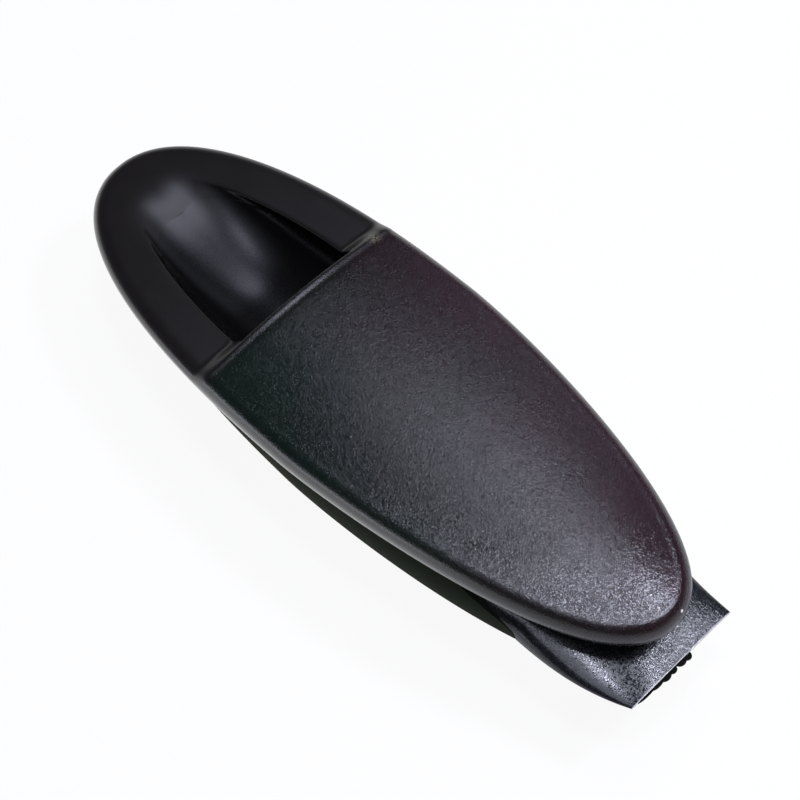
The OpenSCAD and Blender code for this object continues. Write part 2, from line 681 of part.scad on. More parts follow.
// ---------- crank body ----------
lift_end = [crank_x + lift_arm, hook_z + sleeve_t + lift_end_r + seat_gap];
lift_neck = [lift_end[0], crank_z - 0.5];
weight_at = [crank_x - weight_arm, crank_z];
function side_of(a, b, r) = let (d = unit(b - a)) [-d[1] * r, d[0] * r];
module arm(a, ra, b, rb) {
    polygon([a + side_of(a, b, ra), b + side_of(a, b, rb), b - side_of(a, b, rb), a - side_of(a, b, ra)]);
    translate(b) circle(r = rb);
}
module bellcrank() color([0.3, 0.3, 0.32]) difference() {
    pivot = [crank_x, crank_z];
    union() {
        along_y(crank_x, crank_z, -hub_half, hub_half, hub_r);
        in_xz(-arm_t / 2, arm_t / 2) {
            circle_at(pivot, hub_r);
            arm(pivot, hub_r * 0.8, lift_neck, lift_end_r - 0.7);
            arm(lift_neck, lift_end_r - 0.7, lift_end, lift_end_r);
            arm(pivot, hub_r * 0.8, rod_at, clip_pin_r + 2);
            arm(pivot, hub_r * 0.7, weight_at, weight_r + 1.6);
        }
    }
    along_y(crank_x, crank_z, -40, 40, crank_pin_r + bush_gap + bush_t);
    along_y(rod_at[0], rod_at[1], -40, 40, clip_pin_r + 0.05);
    along_y(weight_at[0], weight_at[1], -40, 40, weight_r);
}
module circle_at(p, r) translate(p) circle(r = r);

module crank_bush() color([0.85, 0.84, 0.78]) difference() {
    along_y(crank_x, crank_z, -hub_half - 0.2, hub_half + 0.2, crank_pin_r + bush_gap + bush_t);
    along_y(crank_x, crank_z, -40, 40, crank_pin_r + bush_gap);
}

module balance_weight() color([0.5, 0.5, 0.5])
    translate([weight_at[0], 0, weight_at[1]]) rotate([-90, 0, 0]) rotate_extrude()
        polygon([[0, -weight_half], [weight_r - 0.8, -weight_half], [weight_r, 0.8 - weight_half],
                 [weight_r, weight_half - 0.8], [weight_r - 0.8, weight_half], [0, weight_half]]);

module rod_clip() color([0.2, 0.5, 0.25]) {
    head = arm_t / 2 + 0.2;
    difference() {
        union() {
            along_y(rod_at[0], rod_at[1], -head - 1.2, head + 0.2, clip_pin_r);
            along_y(rod_at[0], rod_at[1], -head - 1.2, -head, clip_pin_r + 0.6);
            translate([rod_at[0] - clip_l / 2, head, rod_at[1] - rod_r - clip_wall])
                cube([clip_l, 2 * rod_r + 2 * clip_wall - 0.4, 2 * (rod_r + clip_wall)]);
        }
        translate([rod_at[0] - clip_l, head + rod_r + clip_wall - 0.2, rod_at[1]]) rotate([0, 90, 0])
            cylinder(r = rod_r, h = 2 * clip_l);
    }
}

module in_frame() translate([-frame_x, 0, 0]) children();

in_frame() grip_shell();
in_frame() pocket_liner();
in_frame() grip_carrier();
in_frame() carrier_screws();
in_frame() hinge_bushes();
in_frame() finger_sleeve();
in_frame() base_cover();
in_frame() bracket();
in_frame() door_gasket();
in_frame() base_screws();
in_frame() mounting_studs();
in_frame() neck_cover();
in_frame() neck_foam();
in_frame() neck_screws();
in_frame() hinge_pin();
in_frame() hinge_clips();
in_frame() grip_spring();
in_frame() finger_guide();
in_frame() closing_buffers();
in_frame() crank_pin();
in_frame() crank_clips();
in_frame() crank_spring();
in_frame() bellcrank();
in_frame() crank_bush();
in_frame() balance_weight();
in_frame() rod_clip();
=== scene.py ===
"""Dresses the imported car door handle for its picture: a finer grip, pocket, base and neck in
grained black plastic, springs that wind, threaded studs, metal and rubber, on a white floor."""
import json
import math

import bmesh
import bpy
import numpy as np
from bpy.props import FloatProperty, FloatVectorProperty, PointerProperty
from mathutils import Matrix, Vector, noise
from mathutils.bvhtree import BVHTree

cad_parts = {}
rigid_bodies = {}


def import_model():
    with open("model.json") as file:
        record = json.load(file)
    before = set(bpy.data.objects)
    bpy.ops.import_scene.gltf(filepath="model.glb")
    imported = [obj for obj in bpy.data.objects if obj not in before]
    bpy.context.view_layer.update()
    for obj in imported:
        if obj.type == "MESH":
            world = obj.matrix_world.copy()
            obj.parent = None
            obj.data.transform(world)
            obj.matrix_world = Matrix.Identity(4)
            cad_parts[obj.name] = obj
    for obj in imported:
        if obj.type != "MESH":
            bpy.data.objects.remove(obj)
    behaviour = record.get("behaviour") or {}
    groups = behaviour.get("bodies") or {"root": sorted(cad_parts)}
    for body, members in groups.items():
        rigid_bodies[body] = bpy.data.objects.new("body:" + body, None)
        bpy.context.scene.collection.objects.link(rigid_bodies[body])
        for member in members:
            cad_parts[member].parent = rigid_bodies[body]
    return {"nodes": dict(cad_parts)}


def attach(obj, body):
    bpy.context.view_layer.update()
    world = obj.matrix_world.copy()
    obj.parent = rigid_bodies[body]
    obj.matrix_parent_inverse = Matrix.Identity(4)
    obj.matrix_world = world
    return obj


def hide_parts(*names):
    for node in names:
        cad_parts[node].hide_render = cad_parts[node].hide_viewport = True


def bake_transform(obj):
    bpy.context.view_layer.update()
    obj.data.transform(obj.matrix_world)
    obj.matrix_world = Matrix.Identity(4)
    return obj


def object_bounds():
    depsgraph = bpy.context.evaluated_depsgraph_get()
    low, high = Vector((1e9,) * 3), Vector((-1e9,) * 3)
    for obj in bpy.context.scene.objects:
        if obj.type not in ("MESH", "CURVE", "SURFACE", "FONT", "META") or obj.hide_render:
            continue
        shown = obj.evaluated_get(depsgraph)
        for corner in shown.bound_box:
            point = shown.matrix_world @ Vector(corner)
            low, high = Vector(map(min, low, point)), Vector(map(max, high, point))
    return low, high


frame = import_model()
CAD_BOX = [list(corner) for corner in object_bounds()]

bl_info = {
    "name": "Car door handle",
    "version": (1, 0, 0),
    "blender": (4, 5, 0),
    "location": "3D View > Sidebar > Door handle",
    "description": "Dresses a car door handle and sets its studio",
    "category": "Object",
}

PHOTO_W = 800
PHOTO_H = 800
# Points of the photograph, in its own frame: the object's four edges, then its features.
IMAGE_POINTS = {
    "left": (93.0, None),
    "top": (None, 145.0),
    "right": (730.5, None),
    "bottom": (None, 709.5),
    "lip_near_end": (205.0, 374.0),
    "lip_far_end": (383.0, 229.0),
    "lip_middle": (297.0, 293.0),
    "neck_far_corner": (730.5, 611.0),
    "neck_near_corner": (632.5, 709.5),
    "pocket_left_end": (142.0, 180.5),
    "paddle_tip": (676.0, 627.0),
    "lip_dust": (373.0, 237.0),
    "tip_speck": (682.0, 611.0),
}
# Station of the row's origin, counted from the scoop end as part.scad counts it.
FRAME_X = 0.094


def station(x, y, z):
    """A point of the row's frame from part.scad's stations, in metres."""
    return Vector((x - FRAME_X, y, z))


def length(name, description, default):
    """A size that a user may change, in metres."""
    return FloatProperty(
        name=name, description=description, default=default, unit="LENGTH", precision=5
    )


def plain(name, description, default):
    """A power, an angle in degrees or another plain number."""
    return FloatProperty(name=name, description=description, default=default)


def share(name, description, default, top=1.0):
    """A plain number from 0 to top."""
    return FloatProperty(name=name, description=description, default=default, min=0.0, max=top)


def colour(name, description, default):
    return FloatVectorProperty(
        name=name, description=description, default=default, size=3, subtype="COLOR",
        min=0.0, max=1.0
    )


# ---------- sizes and colours ----------
class GripSizes(bpy.types.PropertyGroup):
    long: length("Length", "Scoop end to paddle tip", 0.200)
    wide: length("Width", "Width at the widest station", 0.0703)
    widest: length("Widest station", "Station where the grip is widest", 0.100)
    roll: length("Rolled edge", "Outer radius of the rolled edge", 0.0045)
    edge_middle: length("Edge at the middle", "Height of the edge's centre at mid length", 0.01203)
    edge_tip: length("Edge at the tip", "Height of the edge's centre at the tip", 0.01335)
    wall: length("Wall", "Thickness of the moulding", 0.0022)
    rim_rise: length("Rim rise", "Rim's height over the edge's centre", 0.0031)
    paddle_rise: length("Paddle rise", "Paddle border's height over the edge's centre", 0.0047)
    crown: length("Crown", "Crown of the paddle over its border", 0.003)
    lip: length("Lip station", "Station of the paddle's lip", 0.0698)
    pocket_start: length("Pocket start", "Station where the pocket starts", 0.010)
    pocket_end: length("Pocket end", "Station of the pocket's end wall", 0.088)
    pocket_half: length("Pocket half width", "Half width of the pocket at the lip", 0.0194)
    pocket_floor: length("Pocket floor", "Height of the pocket's floor under the lip", 0.001)
    liner: length("Liner wall", "Thickness of the pocket's liner", 0.0018)


class BaseSizes(bpy.types.PropertyGroup):
    wall: length("Base wall", "Thickness of the base's wall", 0.0025)
    gap: length("Running gap", "Gap between the grip's edge and the base", 0.0006)
    plate: length("Plate", "Thickness of the bracket's plate", 0.002)
    flange: length("Flange", "Thickness of the base's flange", 0.0018)
    flange_width: length("Flange width", "Width of the base's flange", 0.005)
    seam: length("Seam station", "Station of the seam between base and neck", 0.1706)
    lean: share("Seam lean", "Centimetres that the seam has leant back one centimetre up", 3.8, 6.0)
    neck_end: length("Neck end", "Station of the neck's straight end", 0.2039)
    neck_half: length("Neck half width", "Half width where the neck leaves the base", 0.0244)
    neck_end_half: length("Neck end half width", "Half width of the neck's end", 0.018)
    neck_height: length("Neck height", "Height of the neck under the paddle", 0.0089)
    neck_end_height: length("Neck end height", "Height of the neck's end", 0.0014)
    neck_wall: length("Neck wall", "Wall of the neck", 0.0016)
    neck_end_wall: length("Neck end wall", "Wall of the neck's end", 0.0008)


class HardwareSizes(bpy.types.PropertyGroup):
    hinge: length("Hinge station", "Station of the hinge", 0.184)
    hinge_z: length("Hinge height", "Height of the hinge, below the door face", -0.004)
    grip_wire: length("Grip spring wire", "Radius of the grip spring's wire", 0.0007)
    grip_coil: length("Grip spring coil", "Radius of the grip spring's coils", 0.0035)
    crank: length("Crank station", "Station of the crank's pivot", 0.125)
    crank_z: length("Crank height", "Height of the crank's pivot", -0.009)
    crank_wire: length("Crank spring wire", "Radius of the crank spring's wire", 0.00045)
    crank_coil: length("Crank spring coil", "Radius of the crank spring's coils", 0.0057)
    stud: length("Stud", "Radius of the fixing studs", 0.003)
    stud_length: length("Stud length", "Length of the studs behind the door face", 0.016)
    pitch: length("Thread pitch", "Pitch of the studs' thread", 0.001)


class FinishColours(bpy.types.PropertyGroup):
    rim: colour("Rim plastic", "Colour of the rim round the pocket", (0.0052, 0.0040, 0.0044))
    neck: colour("Neck plastic", "Colour of the neck", (0.0065, 0.0080, 0.0105))
    warm: colour("Warm tint", "Tint of the black plastic towards the tip", (0.0190, 0.0065, 0.0110))
    cool: colour("Cool tint", "Tint of the black plastic towards the lip", (0.0030, 0.0080, 0.0058))
    pocket: colour("Pocket plastic", "Colour of the pocket's plastic", (0.0030, 0.0030, 0.0038))
    dust: colour("Dust", "Colour of the dust in corners", (0.20, 0.17, 0.12))
    grain: length("Grain", "Size of one pebble of the grain", 0.00038)
    grain_depth: length("Grain depth", "Depth of the grain", 0.00010)
    gloss: share("Paddle roughness", "Roughness of the paddle", 0.08)
    rim_gloss: share("Rim roughness", "Roughness of the rim", 0.30)
    zinc: colour("Zinc", "Colour of the zinc-plated steel", (0.56, 0.57, 0.58))
    yellow_zinc: colour("Yellow zinc", "Colour of the studs' plating", (0.60, 0.53, 0.33))
    acetal: colour("Acetal", "Colour of the acetal bushes", (0.78, 0.76, 0.69))


class CameraSettings(bpy.types.PropertyGroup):
    azimuth: plain("Azimuth", "Camera's turn round the handle, in degrees", 44.84)
    elevation: plain("Elevation", "Camera's angle above the floor, in degrees", 59.52)
    distance: length("Distance", "Camera to target", 0.6)
    lens: plain("Lens", "Focal length in millimetres", 104.594)
    target: FloatVectorProperty(
        name="Target", description="Point that the camera looks at",
        default=station(0.10387, 0.00371, 0), subtype="TRANSLATION", unit="LENGTH",
    )


class StudioSettings(bpy.types.PropertyGroup):
    key: plain("Key", "Power of the key light, in watts", 5.1)
    crest: plain("Crest", "Power of the light that the neck mirrors, in watts", 7.0)
    back: plain("Back", "Power of the light beyond the scoop's far side, in watts", 2.7)
    tip: plain("Tip", "Power of the small light past the tip, in watts", 1.5)
    side: plain("Side", "Power of the side light, in watts", 1.4)
    low: plain("Low", "Power of the low light on the near side, in watts", 0.4)
    room: share("Room", "Strength of the room's even light", 0.05, 2.0)
    glow: share("Backdrop", "Strength of the backdrop where it meets the floor", 0.9, 2.0)


def sizes(name):
    return getattr(bpy.context.scene, name)


# ---------- curves that part.scad also uses ----------
SCOOP_SHAPE = (2.37, 2.17)
TIP_SHAPE = (1.5, 2.22)
POCKET_SHAPE = (1.7, 2.0)
POCKET_BACK_SHAPE = (4.0, 4.0)
POCKET_ROUND = 0.9
# Share of the way to the lip that the pocket's floor is drawn in from its mouth.
POCKET_LEAN = 0.05
NECK_FLARE = (2.5, 2.6)
NECK_WALL_SLOPE = 1.3
LIP_IN = 0.0011
LIP_ROUND = 0.0011
# The face starts to rise this far before the lip.
LIP_RISE = 0.0036
# Place past the lip, height and width of the lip's bead and of the shallow groove behind it.
LIP_WAVES = ((0.0, 0.00010, 0.0008), (0.0016, -0.00008, 0.0009))


def mix(a, b, f):
    return a + (b - a) * f


def ease(f):
    f = np.clip(f, 0, 1)
    return f * f * (3 - 2 * f)


def oval(angle, middle, left, right, half, shape_left, shape_right):
    """Points and outward normals of an oval whose two ends have their own length and squareness."""
    c, s = np.cos(angle), np.sin(angle)
    end = np.where(c < 0, left, right)
    p = np.where(c < 0, shape_left[0], shape_right[0])
    q = np.where(c < 0, shape_left[1], shape_right[1])
    u, v = np.abs(c) ** (2 / p), np.abs(s) ** (2 / q)
    across = np.sign(c) * p * u ** (p - 1) / end
    aside = np.sign(s) * q * v ** (q - 1) / half
    size = np.hypot(across, aside)
    return middle + np.sign(c) * end * u, np.sign(s) * half * v, across / size, aside / size


def oval_angle(x, middle, left, right, shape_left, shape_right):
    """The oval's angle at a station, on its +Y side."""
    end, shape = (left, shape_left) if x < middle else (right, shape_right)
    return math.acos(math.copysign(min(1, abs(x - middle) / end) ** (shape[0] / 2), x - middle))


def grip_oval(angle):
    g = sizes("handle_grip")
    return oval(angle, g.widest, g.widest - g.roll, g.long - g.roll - g.widest,
                g.wide / 2 - g.roll, SCOOP_SHAPE, TIP_SHAPE)


def grip_angle(x):
    g = sizes("handle_grip")
    return oval_angle(x, g.widest, g.widest - g.roll, g.long - g.roll - g.widest,
                      SCOOP_SHAPE, TIP_SHAPE)


def edge_z(x):
    """Height of the rolled edge's centre: a parabola through its scoop end, middle and tip."""
    g = sizes("handle_grip")
    t, middle, tip = x / g.long, g.edge_middle - g.roll, g.edge_tip - g.roll
    return g.roll + (4 * middle - tip) * t + (2 * tip - 4 * middle) * t * t


def over_lip(x):
    """0 on the rim, 1 on the paddle."""
    return ease((x - sizes("handle_grip").lip + LIP_RISE) / (LIP_RISE + LIP_ROUND))


def face_rise(x):
    """The face's rise over the edge's centre, with the bead and the groove at the lip."""
    g = sizes("handle_grip")
    past = x - g.lip - LIP_ROUND
    wave = sum(high * np.exp(-((past - at) / wide) ** 2) for at, high, wide in LIP_WAVES)
    return mix(g.rim_rise, g.paddle_rise, over_lip(x)) + wave


def grip_top(x, f):
    """Height of the grip's face at a station and a share of the way in from its edge."""
    g = sizes("handle_grip")
    return edge_z(x) + face_rise(x) + g.crown * over_lip(x) * (1 - (1 - f) ** 2)


def mouth_z(x):
    return edge_z(x) + sizes("handle_grip").rim_rise


def pocket_side(x, out):
    """Half width of the pocket's mouth at a station."""
    g = sizes("handle_grip")
    reach = np.where(x < g.lip, g.lip - g.pocket_start, g.pocket_end - g.lip) + out
    p = np.where(x < g.lip, POCKET_SHAPE[0], POCKET_BACK_SHAPE[0])
    q = np.where(x < g.lip, POCKET_SHAPE[1], POCKET_BACK_SHAPE[1])
    u = np.clip(np.abs(x - g.lip) / reach, 0, 1)
    return (g.pocket_half + out) * (1 - u ** p) ** (1 / q)


def pocket_deep(x):
    """Depth of the pocket under its mouth."""
    g = sizes("handle_grip")
    t = (x - g.pocket_start) / (0.78 * (g.lip - g.pocket_start))
    return (mouth_z(x) - g.pocket_floor) * ease(t) + 0.0008 * ease(4 * t) * (1 - ease(t))


def pocket_point(x, turn, out=0.0):
    """A point of the pocket's section: turn is 0 at the mouth and a right angle on the floor."""
    g = sizes("handle_grip")
    return np.stack(np.broadcast_arrays(
        mix(x, g.lip, POCKET_LEAN * (1 - np.cos(turn))),
        pocket_side(x, out) * np.cos(turn),
        mouth_z(x) - (pocket_deep(x) + out) * np.sin(turn) ** POCKET_ROUND,
    ), axis=-1)


# ---------- meshes ----------
class Shape:
    """Sheets of points, in stations, that become one piece."""

    def __init__(self):
        self.points, self.faces, self.zones, self.polish_and_cut_highlight = [], [], [], []

    def sheet(self, grid, closed=False, zone=0.0, polish_and_cut_highlight=0.0):
        """Quads between the lines of a grid; closed joins the last line to the first."""
        grid = np.asarray(grid, float)
        lines, count = grid.shape[:2]
        start = len(self.points)
        self.points += grid.reshape(-1, 3).tolist()
        self.zones += np.broadcast_to(zone, (lines, count)).ravel().tolist()
        self.polish_and_cut_highlight += np.broadcast_to(polish_and_cut_highlight, (lines, count)).ravel().tolist()
        for i in range(lines if closed else lines - 1):
            a, b = start + i * count, start + (i + 1) % lines * count
            self.faces += [(a + j, b + j, b + j + 1, a + j + 1) for j in range(count - 1)]

    def polygon(self, points):
        """One flat face round these points."""
        start = len(self.points)
        self.points += np.asarray(points, float).tolist()
        self.zones += [0.0] * len(points)
        self.polish_and_cut_highlight += [0.0] * len(points)
        self.faces.append(tuple(range(start, start + len(points))))

    def wall(self, outer, inner, closed_edges="start end first last", zone=0.0, polish_and_cut_highlight=0.0):
        """Two sheets and the strips that join them along the edges named."""
        self.sheet(outer, zone=zone, polish_and_cut_highlight=polish_and_cut_highlight)
        self.sheet(inner, zone=zone)
        strips = {"start": (outer[0], inner[0]), "end": (outer[-1], inner[-1]),
                  "first": (outer[:, 0], inner[:, 0]), "last": (outer[:, -1], inner[:, -1])}
        for name in closed_edges.split():
            self.sheet(strips[name])

    def turned(self, centre, axis, profile, count=32):
        """A profile of (radius, height) turned about an axis; a radius may vary round the turn."""
        centre = Vector(centre)
        axis = Vector(axis).normalized()
        side = axis.orthogonal().normalized()
        other = axis.cross(side)
        lines = []
        for k in range(count):
            a = 2 * math.pi * k / count
            line = [centre + (radius(a) if callable(radius) else radius)
                    * (side * math.cos(a) + other * math.sin(a)) + axis * height
                    for radius, height in profile]
            lines.append([tuple(p) for p in line])
        self.sheet(lines, closed=True)

    def piece(self, name, body, finish_name, stands_for=(), sharp=35):
        mesh = bpy.data.meshes.new(name)
        mesh.from_pydata([station(*p) for p in self.points], [], self.faces)
        mesh.attributes.new("zone", "FLOAT", "POINT").data.foreach_set("value", self.zones)
        mesh.attributes.new("polish_and_cut_highlight", "FLOAT", "POINT").data.foreach_set("value", self.polish_and_cut_highlight)
        work = bmesh.new()
        work.from_mesh(mesh)
        bmesh.ops.remove_doubles(work, verts=work.verts, dist=2e-6)
        bmesh.ops.recalc_face_normals(work, faces=work.faces)
        work.to_mesh(mesh)
        work.free()
        mesh.shade_smooth()
        mesh.set_sharp_from_angle(angle=math.radians(sharp))
        obj = bpy.data.objects.new(name, mesh)
        bpy.context.scene.collection.objects.link(obj)
        mesh.materials.append(finish(finish_name))
        if body:
            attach(obj, body)
        if stands_for:
            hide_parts(*stands_for)
        return obj


def mirrored(grid, side):
    return grid * np.array([1, side, 1])


# ---------- grip ----------
ROLL_ROWS = np.radians(np.arange(-60, 91, 10))
ROLL_FOOT = math.sin(math.radians(60))
BAND_ROWS = 12
CROWN_ROWS = 16
MOUTH_ROWS = 10
FLOOR_ROWS = 26
# From the lip: where the close columns start, where they get closer still, and where they end.
NEAR_LIP = (-0.0086, -0.0026, 0.0042)
# The grain comes in over this length past the lip.
GRAIN_IN = 0.005
# The rolled edge's gloss fades out over these stations, and little of it is on the far side.
POLISH_FADE = (0.130, 0.185)
POLISH_LOST = 0.85
FAR_POLISH = 0.15


def grip_columns():
    """Angles of the grip's outline on one side, scoop end to tip, close together at the lip."""
    lip = sizes("handle_grip").lip
    start, close, end = NEAR_LIP
    near_lip = [grip_angle(lip + d) for d in (
        *np.linspace(start, close, 16)[:-1], *np.linspace(close, 0, 13)[:-1],
        *np.linspace(0, LIP_ROUND, 6), *np.linspace(LIP_ROUND, end, 13)[1:])]
    spread = [a for a in np.linspace(math.pi, 0, 131)
              if a > near_lip[0] + 0.008 or a < near_lip[-1] - 0.008]
    return np.array(sorted(spread + near_lip, reverse=True))


def rim_columns(x):
    """For each outline column of the rim, the station of its point on the pocket's mouth."""
    g = sizes("handle_grip")
    return g.pocket_start + (x - g.roll) * (g.lip - g.pocket_start) / (g.lip - g.roll)


def seam_turn(x):
    """Where the shell's wall ends in the pocket's section, and the liner starts."""
    wall = sizes("handle_grip").wall
    return np.arcsin(np.minimum(1, wall / np.maximum(pocket_deep(x), 1e-9)) ** (1 / POCKET_ROUND))


def mouth_rows(x, top):
    """The shell's rows from the pocket's mouth down to the liner, starting at the face's height."""
    turn = seam_turn(x)
    rows = []
    for k in range(1, MOUTH_ROWS + 1):
        f = k / MOUTH_ROWS
        angle = np.arcsin((f * np.sin(turn) ** POCKET_ROUND) ** (1 / POCKET_ROUND))
        row = pocket_point(x, angle)
        row[:, 2] += (top - mouth_z(x)) * (1 - f) ** 2
        rows.append(row)
    return np.stack(rows, axis=1)


def softened(grid, middle, rounds):
    """Rounds the corner at a row: each column is smoothed along itself so many times."""
    reach = 8
    away = np.abs(np.arange(grid.shape[1]) - middle)
    weight = (1 - ease(away / reach))[None, 1:-1, None]
    for step in range(int(rounds.max())):
        moving = (step < rounds)[:, None, None]
        smooth = (grid[:, :-2] + 2 * grid[:, 1:-1] + grid[:, 2:]) / 4
        grid[:, 1:-1] += weight * moving * (smooth - grid[:, 1:-1])
    return grid


BOWL_STEP = 0.0004
BOWL_BLUR = 0.0022
BOWL_FROM, BOWL_TO = 0.012, 0.034
# The rim's finish passes into the pocket's between these stations.
FINISH_FROM, FINISH_TO = 0.012, 0.036


def bowl_field():
    """Heights of the pocket and the rim round it on a plain grid, blurred so no edge is left."""
    g = sizes("handle_grip")
    across = np.arange(-0.004, 0.060, BOWL_STEP)
    aside = np.arange(-0.030, 0.030 + BOWL_STEP, BOWL_STEP)
    px, py = np.meshgrid(across, aside, indexing="ij")
    x = px.copy()
    for _ in range(12):
        c = np.clip(np.abs(py) / np.maximum(pocket_side(x, 0), 1e-9), 0, 1)
        x = (px - g.lip * POCKET_LEAN * (1 - c)) / (1 - POCKET_LEAN * (1 - c))
    inside = (x > g.pocket_start) & (c < 1)
    sunk = np.where(inside, pocket_deep(x) * (1 - c * c) ** (POCKET_ROUND / 2), 0)
    z = mouth_z(np.maximum(px, 0.004)) - sunk
    reach = int(3 * BOWL_BLUR / BOWL_STEP)
    kernel = np.exp(-0.5 * (np.arange(-reach, reach + 1) * BOWL_STEP / BOWL_BLUR) ** 2)
    kernel /= kernel.sum()
    for axis in (0, 1):
        pad = [(reach, reach) if k == axis else (0, 0) for k in (0, 1)]
        z = np.pad(z, pad, mode="edge")
        z = np.apply_along_axis(np.convolve, axis, z, kernel, mode="valid")
    return across, aside, z


def bowled(points, field):
    """Lays points near the pocket's shallow end on the blurred heights."""
    across, aside, z = field
    u = np.clip((points[..., 0] - across[0]) / BOWL_STEP, 0, len(across) - 1.001)
    v = np.clip((points[..., 1] - aside[0]) / BOWL_STEP, 0, len(aside) - 1.001)
    i, j = u.astype(int), v.astype(int)
    u, v = u - i, v - j
    height = mix(mix(z[i, j], z[i + 1, j], u), mix(z[i, j + 1], z[i + 1, j + 1], u), v)
    share_in = 1 - ease((points[..., 0] - BOWL_FROM) / (BOWL_TO - BOWL_FROM))
    points[..., 2] = mix(points[..., 2], height, share_in)
    return points


def grip_grids():
    """The grip's sheets on its +Y side: each is a grid of points, column by column."""
    g = sizes("handle_grip")
    x, y, nx, ny = grip_oval(grip_columns())
    y[[0, -1]] = 0
    on_rim = x <= g.lip + 1e-9
    paddle = x >= g.lip + LIP_ROUND - 1e-9
    walled = x <= g.lip + LIP_ROUND + 1e-9
    rise = face_rise(x)
    inner_r = g.roll - g.wall

    def beside(off, z):
        return np.stack([x + nx * off, y + ny * off, z], axis=-1)

    roll = [beside(g.roll * np.cos(a), edge_z(x) + (g.roll if a < 0 else rise) * np.sin(a))
            for a in ROLL_ROWS]
    inside = [beside(inner_r * np.cos(a), edge_z(x) + (rise - g.wall) * np.sin(a))
              for a in np.radians([60, 30, 0])]
    low = [beside(inner_r - LIP_IN, edge_z(x) - g.roll * k) for k in (0.8, ROLL_FOOT)]

    inward = 1 - g.pocket_half / pocket_edge_half()
    spine = np.clip(x, 0.030, g.long - 0.032)
    mouth_x = rim_columns(x)
    mouth_y = pocket_side(mouth_x, 0)

    def face(t, thick):
        f = inward * t
        px = np.where(on_rim, mix(x, mouth_x, t), mix(x, spine, f))
        py = np.where(on_rim, mix(y, mouth_y, t), y * (1 - f))
        return np.stack([px, py, grip_top(px, f) - thick], axis=-1)

    shares = [1 - (1 - k / BAND_ROWS) ** 1.2 for k in range(BAND_ROWS + 1)]
    band = np.stack(roll + [face(t, 0) for t in shares[1:]], axis=1)
    under = np.stack([face(t, g.wall) for t in shares[::-1]] + inside + low + [roll[0]], axis=1)

    def crown_row(f, thick):
        px = mix(x[paddle], spine[paddle], f)
        return np.stack([px, y[paddle] * (1 - f), grip_top(px, f) - thick], axis=-1)

    shares = inward + (1 - inward) * np.linspace(0, 1, CROWN_ROWS + 1)
    crown = np.stack([crown_row(f, 0) for f in shares], axis=1)
    crown_under = np.stack([crown_row(f, g.wall) for f in shares], axis=1)

    wall_x = np.where(on_rim, mouth_x, x)[walled]
    walls = mouth_rows(wall_x, band[walled, -1, 2])
    rounds = 12 * (1 - ease((wall_x - g.lip + 0.005) / 0.003))
    corner = band.shape[1] - 1
    rim = softened(np.concatenate([band[walled], walls], axis=1), corner, rounds)
    first = len(ROLL_ROWS) + 2
    inner = bowled(rim[:, first:], bowl_field())
    fade = ease(np.arange(inner.shape[1]) / 4.0)[None]
    rim[:, first:, 2] = mix(rim[:, first:, 2], inner[:, :, 2], fade)
    band[walled] = rim[:, :corner + 1]
    return band, under, crown, crown_under, rim[:, corner:], wall_x


def pocket_finish(grid):
    """0 where the pocket's shallow end still has the rim's finish, 1 further in."""
    return ease((grid[..., 0] - FINISH_FROM) / (FINISH_TO - FINISH_FROM))


def pocket_edge_half():
    """Half width of the edge's centre line at the lip."""
    return grip_oval(np.array([grip_angle(sizes("handle_grip").lip)]))[1][0]


class HANDLE_OT_grip(bpy.types.Operator):
    """Builds the one-piece grip: rolled edge, rim, lip and crowned paddle"""

    bl_idname = "handle.grip"
    bl_label = "Grip"

    def execute(self, context):
        g = sizes("handle_grip")
        band, under, crown, crown_under, mouth, wall_x = grip_grids()
        flat = mouth[:, -1].copy()
        flat[:, 2] = np.minimum(mouth_z(wall_x) - g.wall, mouth[:, -1, 2] - 0.0003)
        roof = np.stack([under[:len(wall_x), 0], flat], axis=1)
        deeper = int(np.argmax(pocket_deep(wall_x) > g.wall)) - 1
        step_down = np.stack([flat, mouth[:, -1]], axis=1)[deeper:]
        shape = Shape()
        band_zone = ease((band[:, :, 0] - g.lip) / GRAIN_IN)
        polish_and_cut_highlight = np.zeros(band.shape[1])
        polish_and_cut_highlight[:len(ROLL_ROWS)] = 1 - ease((np.degrees(ROLL_ROWS) - 25) / 40)
        depth = np.linspace(0, 1, mouth.shape[1])[None] * np.ones((len(wall_x), 1))
        start, end = POLISH_FADE
        rubbed = polish_and_cut_highlight * (1 - POLISH_LOST * ease((band[:, :, 0] - start) / (end - start)))
        for side in (1, -1):
            shape.sheet(mirrored(band, side), zone=band_zone * (1 - 0.5 * polish_and_cut_highlight),
                        polish_and_cut_highlight=rubbed * (1.0 if side < 0 else FAR_POLISH))
            shape.sheet(mirrored(under, side), zone=1.0)
            shape.sheet(mirrored(crown, side), zone=ease((crown[:, :, 0] - g.lip) / GRAIN_IN))
            shape.sheet(mirrored(crown_under, side), zone=1.0)
            shape.sheet(mirrored(mouth, side), zone=-ease(3 * depth) * pocket_finish(mouth))
            shape.sheet(mirrored(roof, side), zone=-1.0)
            shape.sheet(mirrored(step_down, side), zone=-pocket_finish(step_down))
        lip_line = np.concatenate([mirrored(crown[0], 1), mirrored(crown[0], -1)[-2::-1]])
        turns = np.radians(np.arange(0, 181, 15))
        shape.sheet([lip_line - LIP_ROUND * np.array([math.sin(a), 0, 1 - math.cos(a)])
                     for a in turns], zone=0.3)
        tree = tree_of(shape)
        MARKS.update({name: on_surface(tree, *IMAGE_POINTS[name]) for name in MARKS})
        shape.piece("grip_moulding", "grip", "grip_plastic", ["grip_shell"], sharp=50)
        return {"FINISHED"}


